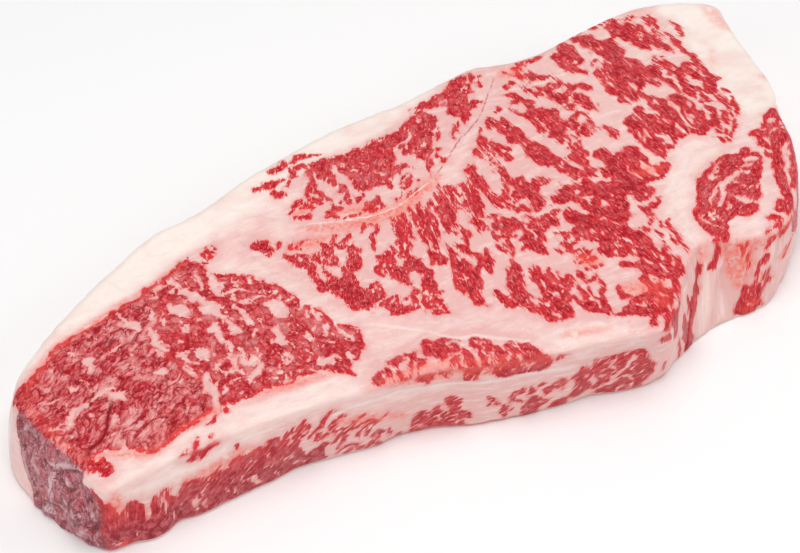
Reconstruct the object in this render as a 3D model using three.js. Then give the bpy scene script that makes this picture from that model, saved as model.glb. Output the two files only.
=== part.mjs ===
// A raw beef steak, cut straight across several muscles and lying on its lower cut face.
// Millimetres, +Z up, X along the length. The origin is under the middle, on the face it rests on.
import * as THREE from "three";

const thickness = 26; // from the lower cut face to the upper one
const topEdgeRadius = 2.2; // the knife's edge is crisp, but soft meat rounds it
const baseEdgeRadius = 1.6;
const wallBulge = 1.0; // how far the side swells out half way up
const columns = 168; // facets round the outline
const edgeSteps = 3; // facets across each rounded edge
const wallSteps = 4; // facets up the side between the two edges
const ringShares = [0.08, 0.2, 0.36, 0.54, 0.76, 1]; // rings of the upper face, from its edge to the spine

// Stations round the steak, anticlockwise from above: the upper edge's x and y, then the lower edge's.
const stations = [
  [-123.4, -4, -127.4, -4], // left end point
  [-121, -18, -126, -18.6],
  [-117, -33, -120.4, -34.2],
  [-113.5, -43.5, -113.8, -44], // front left corner
  [-107.5, -42.7, -108, -43.4],
  [-101, -42, -102, -45],
  [-80, -40, -79, -42.2],
  [-54, -41, -52, -40.8],
  [-34, -43.2, -34, -43],
  [-19, -44.6, -19, -44],
  [-6, -49, -5, -48.7],
  [12, -53.6, 12, -52],
  [30, -56.8, 30, -55],
  [43, -59.8, 45, -56.6], // front right corner
  [49, -56, 52, -55],
  [58, -46.4, 58.6, -51],
  [66, -37.8, 65.4, -48.6],
  [72, -35.6, 72, -47.6], // notch between the eye and the small round muscle
  [79, -39.2, 79, -47.4],
  [89, -42, 88, -45.9],
  [98, -38.6, 99, -38.8],
  [108, -27, 110.5, -26.8],
  [116.4, -12.7, 118, -11.5],
  [119.8, 0, 121, 1], // end of the rim muscle, where the outer fat begins
  [124.8, 11, 125, 12],
  [127.2, 27, 126.4, 28],
  [128.4, 47, 126, 47], // back right corner
  [121.6, 56.8, 119.5, 54.5],
  [106, 61.1, 105, 57.8],
  [88, 59.5, 87, 56.4],
  [68, 56, 67, 54.4],
  [59, 56.5, 58.5, 54.4],
  [48, 59.2, 48, 56.8],
  [35, 57.4, 35, 55.8],
  [21, 54.8, 21, 52.8],
  [-2, 53.4, -2, 51.2],
  [-32.4, 46.5, -32.4, 44.6],
  [-53.2, 39.6, -54, 38],
  [-66.2, 37.8, -67, 36.8],
  [-84, 29, -86, 29],
  [-103.8, 16.3, -106.6, 17],
  [-117.8, 5.2, -122, 7],
];
const rightEnd = 24; // the station of the right end point, opposite station 0

// Soft rises and hollows of the upper face: centre x and y, reach along x and y, height.
const swells = [
  [60, 10, 42, 34, 0.9], // the eye, the largest muscle
  [-85, -10, 30, 20, 0.7], // the coarse muscle at the left end
  [5, 36, 30, 10, 0.6], // the cap muscle under the back fat
  [92, -24, 16, 14, 0.7], // the small round muscle
  [-10, -24, 30, 9, -0.7], // the wide seam of fat
  [74, -22, 8, 20, -0.8], // the seam that runs into the notch
  [122, 30, 12, 26, -1.2], // the end fat slopes away
  [-70, 30, 30, 9, -0.9], // and so does the back fat
];

// The middle line that the rings of the upper face close on, from near the left end to near the right one.
const spine = new THREE.SplineCurve([
  new THREE.Vector2(-104, -12),
  new THREE.Vector2(-55, -2),
  new THREE.Vector2(0, 1),
  new THREE.Vector2(60, 4),
  new THREE.Vector2(106, 14),
]);

function closedCurve(xIndex, yIndex) {
  const points = stations.map((s) => new THREE.Vector3(s[xIndex], s[yIndex], 0));
  return new THREE.CatmullRomCurve3(points, true, "centripetal");
}

const topCurve = closedCurve(0, 1);
const baseCurve = closedCurve(2, 3);

const stepsPerStation = 20;
const lengths = topCurve.getLengths(stations.length * stepsPerStation);
const rightEndLength = lengths[rightEnd * stepsPerStation] / lengths.at(-1);

// The share of the way round for each column, evenly spaced in front of the two end points and behind them.
function shareOfColumn(column) {
  const half = columns / 2;
  const front = (rightEndLength * column) / half;
  const back = rightEndLength + ((1 - rightEndLength) * (column - half)) / half;
  return topCurve.getUtoTmapping(column < half ? front : back);
}

// The spine's point for each column. A column in front and its twin behind share one point, which closes
// the face.
function spinePoint(column) {
  const half = columns / 2;
  return spine.getPoint(1 - Math.abs(column - half) / half);
}

// The point of a closed curve at a share of the way round, counted in stations.
function pointOn(curve, share) {
  const p = curve.getPoint(share);
  return new THREE.Vector2(p.x, p.y);
}

// The outward direction of the upper outline, square to it.
function outwardAt(share) {
  const tangent = topCurve.getTangent(share);
  return new THREE.Vector2(tangent.y, -tangent.x).normalize();
}

function topHeight(x, y) {
  let height = thickness;
  for (const [cx, cy, reachX, reachY, rise] of swells) {
    height += rise * Math.exp(-(((x - cx) / reachX) ** 2) - ((y - cy) / reachY) ** 2);
  }
  return height;
}

// A point of the side at a height share from 0 at the base to 1 at the top, drawn in by an inset.
function wallPoint(share, up, inset) {
  const base = pointOn(baseCurve, share);
  const top = pointOn(topCurve, share);
  const bulge = wallBulge * Math.sin(Math.PI * up);
  return base.lerp(top, up).addScaledVector(outwardAt(share), bulge - inset);
}

// The rows of the surface, from the base's rim to the spine. Each is a function that gives a point for a
// share round the outline and its column.
function surfaceRows() {
  const rows = [];
  for (let i = 0; i <= edgeSteps; i++) {
    const angle = (Math.PI / 2) * (i / edgeSteps);
    const z = baseEdgeRadius * (1 - Math.cos(angle));
    rows.push((share) => {
      const p = wallPoint(share, z / thickness, baseEdgeRadius * (1 - Math.sin(angle)));
      return [p.x, p.y, z];
    });
  }
  for (let i = 1; i < wallSteps; i++) {
    const z = THREE.MathUtils.lerp(baseEdgeRadius, thickness - topEdgeRadius, i / wallSteps);
    rows.push((share) => {
      const p = wallPoint(share, z / thickness, 0);
      return [p.x, p.y, z];
    });
  }
  for (let i = 0; i <= edgeSteps; i++) {
    const angle = (Math.PI / 2) * (i / edgeSteps);
    const drop = topEdgeRadius * (1 - Math.sin(angle));
    rows.push((share) => {
      const p = wallPoint(share, 1 - drop / thickness, topEdgeRadius * (1 - Math.cos(angle)));
      return [p.x, p.y, topHeight(p.x, p.y) - drop];
    });
  }
  for (const ringShare of ringShares) {
    rows.push((share, column) => {
      const p = wallPoint(share, 1, topEdgeRadius).lerp(spinePoint(column), ringShare);
      return [p.x, p.y, topHeight(p.x, p.y)];
    });
  }
  return rows;
}

// The flat fill of the lower face, which faces down.
function baseFaces(ring) {
  const outline = ring.map(([x, y]) => new THREE.Vector2(x, y));
  return THREE.ShapeUtils.triangulateShape(outline, []).flatMap(([a, b, c]) => [a, c, b]);
}

function steakGeometry() {
  const rings = surfaceRows().map((row) =>
    Array.from({ length: columns }, (_, column) => row(shareOfColumn(column), column)),
  );
  const indices = [];
  for (let r = 0; r + 1 < rings.length; r++) {
    for (let c = 0; c < columns; c++) {
      const next = (c + 1) % columns;
      const lower = [r * columns + c, r * columns + next];
      const upper = [(r + 1) * columns + c, (r + 1) * columns + next];
      indices.push(lower[0], lower[1], upper[1], lower[0], upper[1], upper[0]);
    }
  }
  indices.push(...baseFaces(rings[0]));
  const geometry = new THREE.BufferGeometry();
  geometry.setAttribute("position", new THREE.Float32BufferAttribute(rings.flat(2), 3));
  geometry.setIndex(indices);
  geometry.computeVertexNormals();
  return geometry;
}

const rawBeef = new THREE.MeshStandardMaterial({ color: 0xd0606a, roughness: 0.45, metalness: 0 });
const steak = new THREE.Mesh(steakGeometry(), rawBeef);
steak.name = "steak";

const part = new THREE.Group();
part.add(steak);

export default part;
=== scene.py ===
# A raw beef steak on a pale table: one closed mesh whose muscles, marbling, seams and outer fat are
# fields worked out on its surface. Settings are in millimetres, and the meshes in metres.
import math
from functools import partial

import bpy
import numpy as np
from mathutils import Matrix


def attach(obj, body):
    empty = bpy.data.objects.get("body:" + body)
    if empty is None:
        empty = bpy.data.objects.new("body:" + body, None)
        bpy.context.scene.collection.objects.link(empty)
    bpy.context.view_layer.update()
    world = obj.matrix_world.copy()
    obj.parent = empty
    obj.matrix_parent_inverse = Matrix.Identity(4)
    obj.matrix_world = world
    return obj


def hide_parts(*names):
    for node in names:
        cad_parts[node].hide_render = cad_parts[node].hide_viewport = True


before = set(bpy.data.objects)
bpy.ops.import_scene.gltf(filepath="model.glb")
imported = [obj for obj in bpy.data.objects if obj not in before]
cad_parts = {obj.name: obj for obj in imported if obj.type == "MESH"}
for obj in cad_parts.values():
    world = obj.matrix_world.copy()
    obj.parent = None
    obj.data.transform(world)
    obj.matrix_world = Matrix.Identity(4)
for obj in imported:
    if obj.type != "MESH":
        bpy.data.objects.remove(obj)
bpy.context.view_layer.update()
mm = 0.001
veryFar = 1e9


# Goes from 0 at low to 1 at high, eased at both.
def smoothStep(low, high, value):
    share = np.clip((value - low) / (high - low), 0.0, 1.0)
    return share * share * (3.0 - 2.0 * share)


def mix(first, second, share):
    return first + (second - first) * share


latticeSize = 32
noiseGain = 1.4  # blending flattens the random numbers, and this makes up for it


# Smooth noise with mean 0 and most values within 1: random numbers on a lattice of whole numbers,
# blended between the eight corners round each point by t^3 (6 t^2 - 15 t + 10).
def noise(points, seed):
    lattice = np.random.default_rng(seed).normal(size=(latticeSize,) * 3)
    cell = np.floor(points).astype(int)
    part = points - cell
    part = part * part * part * (part * (part * 6.0 - 15.0) + 10.0)
    total = np.zeros(points.shape[:-1])
    for corner in np.ndindex(2, 2, 2):
        weight = np.prod(np.where(corner, part, 1.0 - part), axis=-1)
        i, j, k = np.moveaxis((cell + corner) % latticeSize, -1, 0)
        total += weight * lattice[i, j, k]
    return total * noiseGain


# Noise summed over octaves, each twice as fine and half as strong as the last.
def roughNoise(points, seed, octaves=3):
    return sum(noise(points * 2.0**n, seed + n) * 0.5**n for n in range(octaves))


# A smooth curve through points: centripetal Catmull-Rom, read at positions counted in points.
def smoothCurve(points, positions, closed=True):
    points = np.asarray(points, float)
    if not closed:
        points = np.vstack([2 * points[0] - points[1], points, 2 * points[-1] - points[-2]])
        positions = positions + 1
    count = len(points)
    whole = np.floor(positions).astype(int)
    if not closed:
        whole = np.clip(whole, 1, count - 3)
    part = (positions - whole)[:, None]
    before, start, end, after = (points[(whole + n) % count] for n in (-1, 0, 1, 2))
    reach = [np.sqrt(np.linalg.norm(b - a, axis=1))[:, None] + 1e-4
             for a, b in ((before, start), (start, end), (end, after))]
    leave = (start - before) / reach[0] - (end - before) / (reach[0] + reach[1])
    leave = (leave + (end - start) / reach[1]) * reach[1]
    arrive = (end - start) / reach[1] - (after - start) / (reach[1] + reach[2])
    arrive = (arrive + (after - end) / reach[2]) * reach[1]
    return (start + leave * part + (3 * (end - start) - 2 * leave - arrive) * part**2
            + (2 * (start - end) + leave + arrive) * part**3)


stepsPerPoint = 3  # straight steps of a smooth outline between two of its points


# Which points lie in the box round a path, widened by a reach.
def near(points, path, reach):
    return np.flatnonzero(np.all((points > path.min(0) - reach) & (points < path.max(0) + reach), axis=1))


# Distance in mm to a closed outline, positive inside: the least distance to an edge, with its sign from
# how many edges a line to the right crosses. Points further outside than the reach all get that distance.
def insideDistance(points, outline, reach=veryFar):
    outline = np.reshape(outline, (-1, 2))
    corners = smoothCurve(outline, np.arange(len(outline) * stepsPerPoint) / stepsPerPoint)
    close = near(points, corners, reach)
    x, y = points[close].T
    nearest = np.full(len(close), veryFar)
    inside = np.zeros(len(close), bool)
    for a, b in zip(corners, np.roll(corners, -1, axis=0)):
        nearest = np.minimum(nearest, segmentDistance(points[close], a, b)[1])
        rise = b[1] - a[1] if b[1] != a[1] else 1e-9
        inside ^= ((a[1] > y) != (b[1] > y)) & (x < a[0] + (y - a[1]) / rise * (b[0] - a[0]))
    distance = np.full(len(points), -reach)
    distance[close] = np.where(inside, nearest, -nearest)
    return distance


# Share of the way along a segment of the nearest point on it, and the distance to that point.
def segmentDistance(points, a, b):
    along = b - a
    share = np.clip(((points - a) @ along) / max(along @ along, 1e-9), 0.0, 1.0)
    return share, np.hypot(*(points - a - share[:, None] * along).T)


farAway = 4.0  # strokes are not felt beyond this
endWidth = 0.5  # share of a stroke's width that is left at its ends
leastWidth = 0.5  # half width that the mesh can still show


# Distance in mm inside the nearest of some strokes, negative outside. A stroke is its half width in the
# middle, then the x and y of the points it runs through, and it narrows towards its ends.
def strokeDistance(points, strokes):
    nearest = np.full(len(points), -farAway)
    for halfWidth, *path in strokes:
        path = np.reshape(path, (-1, 2)).astype(float)
        close = near(points, path, halfWidth + farAway)
        lengths = np.hypot(*np.diff(path, axis=0).T)
        starts = np.cumsum(lengths) - lengths
        for a, b, start, length in zip(path[:-1], path[1:], starts, lengths):
            share, distance = segmentDistance(points[close], a, b)
            fromMiddle = 2 * (start + share * length) / lengths.sum() - 1
            width = max(halfWidth, leastWidth) * (1 - (1 - endWidth) * fromMiddle**2)
            nearest[close] = np.maximum(nearest[close], width - distance)
    return nearest


lineFade = 4.0  # length over which a fine line fades at each end


# Signed distance in mm to a fine line, positive on its left, the length along it, and a share that is 1
# along the line and falls to 0 at both of its ends.
def lineOffset(points, path):
    path = np.reshape(path, (-1, 2)).astype(float)
    nearest = np.full(len(points), veryFar)
    offset, travelled, start = nearest.copy(), nearest.copy(), 0.0
    for a, b in zip(path[:-1], path[1:]):
        share, distance = segmentDistance(points, a, b)
        length = math.hypot(*(b - a))
        side = np.sign((b[0] - a[0]) * (points[:, 1] - a[1]) - (b[1] - a[1]) * (points[:, 0] - a[0]))
        closer = distance < nearest
        nearest = np.where(closer, distance, nearest)
        offset = np.where(closer, distance * side, offset)
        travelled = np.where(closer, start + share * length, travelled)
        start += length
    fade = smoothStep(0.0, lineFade, travelled) * (1 - smoothStep(start - lineFade, start, travelled))
    return offset, travelled, fade


steakShape = {
    "thickness": 26.0,
    "topEdgeRadius": 2.2,
    "baseEdgeRadius": 1.6,
    "wallBulge": 1.0,
    "columns": 816,  # round the outline, half of them in front of the two end points
    "stepsPerStation": 60,  # for measuring the length round the outline
    "baseRows": 14,
    "baseCrowding": 1.3,  # above 1, the underside's rows are closer together towards the spine
    "edgeRows": 3,
    "wallRows": 24,
    "topRows": 74,
    # stations round the outline, anticlockwise: the upper edge's x and y, then the lower edge's
    "stations": [
        (-123.4, -4, -127.4, -4), (-121, -18, -126, -18.6), (-117, -33, -120.4, -34.2),
        (-113.5, -43.5, -113.8, -44), (-107.5, -42.7, -108, -43.4), (-101, -42, -102, -45),
        (-80, -40, -79, -42.2), (-54, -41, -52, -40.8), (-34, -43.2, -34, -43), (-19, -44.6, -19, -44),
        (-6, -49, -5, -48.7), (12, -53.6, 12, -52), (30, -56.8, 30, -55), (43, -59.8, 45, -56.6),
        (49, -56, 52, -55), (58, -46.4, 58.6, -51), (66, -37.8, 65.4, -48.6), (72, -35.6, 72, -47.6),
        (79, -39.2, 79, -47.4), (89, -42, 88, -45.9), (98, -38.6, 99, -38.8), (108, -27, 110.5, -26.8),
        (116.4, -12.7, 118, -11.5), (119.8, 0, 121, 1), (124.8, 11, 125, 12), (127.2, 27, 126.4, 28),
        (128.6, 43, 126.4, 43), (129.3, 50.8, 126.4, 48.8), (121, 57.3, 119.5, 54.5),
        (106, 61.1, 105, 57.8), (88, 59.5, 87, 56.4), (68, 56, 67, 54.4), (59, 56.5, 58.5, 54.4),
        (48, 59.2, 48, 56.8), (35, 57.4, 35, 55.8), (21, 54.8, 21, 52.8), (-2, 53.4, -2, 51.2),
        (-32.4, 46.5, -32.4, 44.6), (-53.2, 39.6, -54, 38), (-66.2, 37.8, -67, 36.8), (-84, 29, -86, 29),
        (-103.8, 16.3, -106.6, 17), (-117.8, 5.2, -122, 7),
    ],
    "rightEnd": 24,  # the station opposite the first
    "spine": [(-104, -12), (-55, -2), (0, 1), (60, 4), (106, 14)],
    # hollows where the base draws in: length round the outline, reach, depth
    "baseHollows": [
        (42, 3, 0.8), (62, 4.5, 2.2), (95, 6, 0.8), (127, 7, 1.5), (182, 5, 1.2), (210, 5, 1.4),
        (243, 6, 1.2), (300, 9, 1.2), (350, 12, 1.6), (410, 9, 1.2), (470, 14, 1.5), (540, 10, 1.2),
    ],
    # soft rises and hollows of the upper face: centre x and y, reach along x and y, height
    "swells": [
        (60, 10, 42, 34, 0.9), (-85, -10, 30, 20, 0.7), (5, 36, 30, 10, 0.6), (92, -24, 16, 14, 0.7),
        (-10, -24, 30, 9, -0.7), (74, -22, 8, 20, -0.8), (122, 30, 12, 26, -1.2), (-70, 30, 30, 9, -0.9),
    ],
}


# The upper face's height: the thickness and the swells, each height * exp(-(dx / reach)^2 - (dy / reach)^2).
def topHeight(x, y):
    height = np.full(x.shape, steakShape["thickness"])
    for cx, cy, reachX, reachY, rise in steakShape["swells"]:
        height += rise * np.exp(-((x - cx) / reachX) ** 2 - ((y - cy) / reachY) ** 2)
    return height


# The outline's columns: the upper and lower edge, the outward direction and the length round from the
# left end, evenly spaced in front of the two end points and behind them.
def outlineColumns():
    stations = np.array(steakShape["stations"], float)
    count, half = len(stations), steakShape["columns"] // 2
    fine = np.linspace(0, count, count * steakShape["stepsPerStation"] + 1)
    path = smoothCurve(stations[:, :2], fine)
    length = np.concatenate([[0], np.cumsum(np.hypot(*np.diff(path, axis=0).T))])
    endLength = np.interp(steakShape["rightEnd"], fine, length)
    around = np.concatenate([
        np.linspace(0, endLength, half, endpoint=False),
        np.linspace(endLength, length[-1], half, endpoint=False),
    ])
    positions = np.interp(around, length, fine)
    top = smoothCurve(stations[:, :2], positions)
    base = smoothCurve(stations[:, 2:], positions)
    ahead = np.roll(top, -1, axis=0) - np.roll(top, 1, axis=0)
    outward = np.stack([ahead[:, 1], -ahead[:, 0]], axis=1) / np.hypot(*ahead.T)[:, None]
    for middle, reach, inset in steakShape["baseHollows"]:
        base -= outward * (inset * np.exp(-((around - middle) / reach) ** 2))[:, None]
    return top, base, outward, around


# The rows from the middle of the underside, out, up the wall and in over the top to the spine. Each row
# has its height share up the wall, how far it is drawn in, its height below the top or above the base,
# its share of the way to the spine, and whether it belongs to the top.
def surfaceRows():
    s = steakShape
    turn = np.linspace(0, math.pi / 2, s["edgeRows"] + 1)
    inward = np.linspace(0, 1, s["baseRows"] + 1)[1:] ** s["baseCrowding"]
    rows = [(0.0, s["baseEdgeRadius"], 0.0, share, False) for share in inward[::-1]]
    for angle in turn:
        z = s["baseEdgeRadius"] * (1 - math.cos(angle))
        rows.append((z / s["thickness"], s["baseEdgeRadius"] * (1 - math.sin(angle)), z, 0.0, False))
    for z in np.linspace(s["baseEdgeRadius"], s["thickness"] - s["topEdgeRadius"], s["wallRows"] + 1)[1:-1]:
        rows.append((z / s["thickness"], 0.0, z, 0.0, False))
    for angle in turn:
        drop = s["topEdgeRadius"] * (1 - math.sin(angle))
        rows.append((1 - drop / s["thickness"], s["topEdgeRadius"] * (1 - math.cos(angle)), drop, 0.0, True))
    for share in np.linspace(0, 1, s["topRows"] + 1)[1:]:
        rows.append((1.0, s["topEdgeRadius"], 0.0, share, True))
    return rows


# The whole surface as rows by columns of points, with the length round the outline of each column and
# how much each row belongs to the top face (1), the wall (0) or the underside (-1). A point of the wall is
# base + (top - base) * up + outward * (bulge * sin(pi * up) - inset), and z = level.
def steakSurface():
    top, base, outward, around = outlineColumns()
    half = steakShape["columns"] // 2
    twin = 1 - np.abs(np.arange(2 * half) - half) / half
    spine = smoothCurve(steakShape["spine"], twin * (len(steakShape["spine"]) - 1), closed=False)
    points, face = [], []
    for up, inset, level, toSpine, isTop in surfaceRows():
        bulge = steakShape["wallBulge"] * math.sin(math.pi * up)
        p = mix(mix(base, top, up) + outward * (bulge - inset), spine, toSpine)
        if isTop:
            z = topHeight(*p.T) - level
            share = 1 - level / steakShape["topEdgeRadius"]
        else:
            z = np.full(len(p), level)
            share = min(0.0, level / steakShape["baseEdgeRadius"] - 1)
        points.append(np.column_stack([p, z]))
        face.append(np.full(len(p), share))
    face = np.array(face)
    return np.array(points), face, np.broadcast_to(around, face.shape)


# Faces between the rows. The first and last row lie on the spine, where a column in front and its twin
# behind share one vertex, which closes the surface.
def closedFaces(rows, columns):
    index = np.arange(rows * columns).reshape(rows, columns)
    column = np.arange(columns)
    fold = np.minimum(column, columns - column)
    index[0] = fold
    index[-1] = index[-1, 0] + fold
    a, b = index[:-1], index[1:]
    faces = np.stack([a, np.roll(a, -1, 1), np.roll(b, -1, 1), b], axis=-1).reshape(-1, 4)
    used, faces = np.unique(faces, return_inverse=True)
    return used, faces.reshape(-1, 4)


# Outlines of the muscles on the cut face, in mm. Each has the size of its flecks across and along the
# grain and the grain's tilt from the Y axis in degrees. "ground" is how far in mm its plain parts lie
# inside lean, or outside it if negative. "marbling" is how strongly fine fat runs through its lean, and
# "wrinkled" how crumpled the lean is. "depth" is the deepest level of its lean, and a low one lets the
# noise cut more fat into it. "gaps" makes the fat strokes in it wider, in mm on each side.
muscles = {
    "coarse": {  # the dull, wrinkled muscle at the left end
        "outline": [
            (-128, -6), (-121, -1), (-113, 4), (-106, 9), (-98, 11), (-90, 13.2), (-80, 16), (-72, 17),
            (-76, 8), (-82, 0), (-80, -12), (-76, -22), (-78, -31), (-86, -33), (-97, -37.5), (-103, -34),
            (-110, -31), (-115, -34), (-120, -38), (-128, -28),
        ],
        "across": 2.6, "along": 5.0, "tilt": 52, "ground": 1.3, "marbling": 0.35, "wrinkled": 1.0,
    },
    "coarseRight": {  # its more marbled right half, cut up by wide gaps of fat
        "outline": [
            (-80, 16), (-70, 20), (-62, 24), (-59, 20), (-58, 15), (-51, 11), (-46, 6), (-42, 0),
            (-40, -7), (-37, -12), (-36, -17), (-31, -21), (-34, -31), (-39, -33), (-38, -37),
            (-46, -31.5), (-60, -31.5), (-75, -31), (-78, -31), (-76, -22), (-80, -12), (-82, 0), (-76, 8),
        ],
        "across": 4.4, "along": 5.0, "tilt": 8, "ground": 0.9, "marbling": 0.6, "wrinkled": 0.5,
        "depth": 0.65, "gaps": 0.15,
    },
    "eye": {  # the largest muscle, strongly marbled, whose grain bends and so has no tilt
        "outline": [
            (-38, 12), (-30, 14), (-18, 12), (0, 13), (15, 16.5), (22, 15), (27, 20), (30, 25), (35, 31),
            (40, 35), (47, 40), (50, 43), (52, 50), (60, 60), (72, 62), (90, 64), (102, 60), (108, 56),
            (109.5, 46), (110.5, 30), (111, 18), (110, 8), (105, 1), (98, -6), (95, 1.5), (87, 3), (82, 1),
            (79, -3), (76, -8), (70, -9), (69, -13), (66, -17), (65, -24), (66, -36), (64, -46), (56, -60),
            (44, -64), (38, -57), (33, -51), (26, -46), (20, -45.5), (16, -42), (12, -34), (8, -28),
            (5, -30), (0, -23), (-5, -28), (-10, -25), (-14, -22), (-20, -21), (-26, -17), (-31, -9),
            (-35, -3), (-36, 5),
        ],
        "across": 2.4, "along": 9.0, "ground": -1.0, "marbling": 0.5, "wrinkled": 0.1,
    },
    "cap": {  # under the back fat
        "outline": [
            (-17, 44), (-15, 42.5), (-3, 42), (8, 43), (16, 45), (22, 49), (30, 52), (36, 54), (42, 62),
            (48, 61), (47, 55), (45, 50), (41, 46), (38, 40), (30, 37), (22, 32), (17, 24), (8, 22),
            (0, 17), (-8, 17.5), (-15, 17.5), (-20, 20), (-20, 28), (-19, 36),
        ],
        "across": 3.2, "along": 6.0, "tilt": 28, "ground": -1.0, "marbling": 0.45, "wrinkled": 0.3,
        "depth": 0.7,
    },
    "small": {  # the round muscle right of the notch
        "outline": [
            (73.8, -33), (73.6, -30), (74, -27), (75, -24.6), (77, -22.4), (78.8, -19.4), (80.6, -16.8),
            (83, -14), (87, -12.6), (91, -10.6), (95, -8.8), (97, -10.2), (100, -8.6), (102, -9.2),
            (101.8, -11.4), (103.8, -12.8), (103.8, -16.2), (101.6, -18.6), (99.4, -21.6), (97.4, -24.6),
            (95.6, -27.6), (93.4, -29.6), (90.2, -30.8), (91.4, -32), (88, -33.6), (84, -31.8),
            (80.4, -33.6), (76.6, -37.4), (74.6, -36),
        ],
        "across": 2.0, "along": 5.0, "tilt": 50, "ground": 0.8, "marbling": 0.2, "wrinkled": 0.35,
    },
    "rim": {  # along the right edge
        "outline": [
            (126, 1), (119.6, 1.2), (116, 0.8), (113, -1), (110, -4), (107.6, -4.6), (106.6, -7.8),
            (106.2, -12), (106, -16.4), (104.6, -20), (102, -23.6), (101.2, -29), (100.8, -33),
            (98.2, -31.4), (95.2, -34.6), (97, -36), (96.8, -38), (100, -42), (108, -38), (122, -14),
        ],
        "across": 2.2, "along": 7.0, "tilt": 28, "ground": 0.8, "marbling": 0.2, "wrinkled": 0.3,
    },
    "front": {  # the slim muscle that wraps over the front edge
        "outline": [
            (-38, -44), (-34, -37), (-22, -35), (-17, -33), (-10, -35), (-3, -38), (6, -45), (12, -52),
            (14, -58), (-30, -48),
        ],
        "across": 1.8, "along": 6.0, "tilt": -8, "ground": -1.0, "marbling": 0.3, "wrinkled": 0.2,
    },
}

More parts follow.
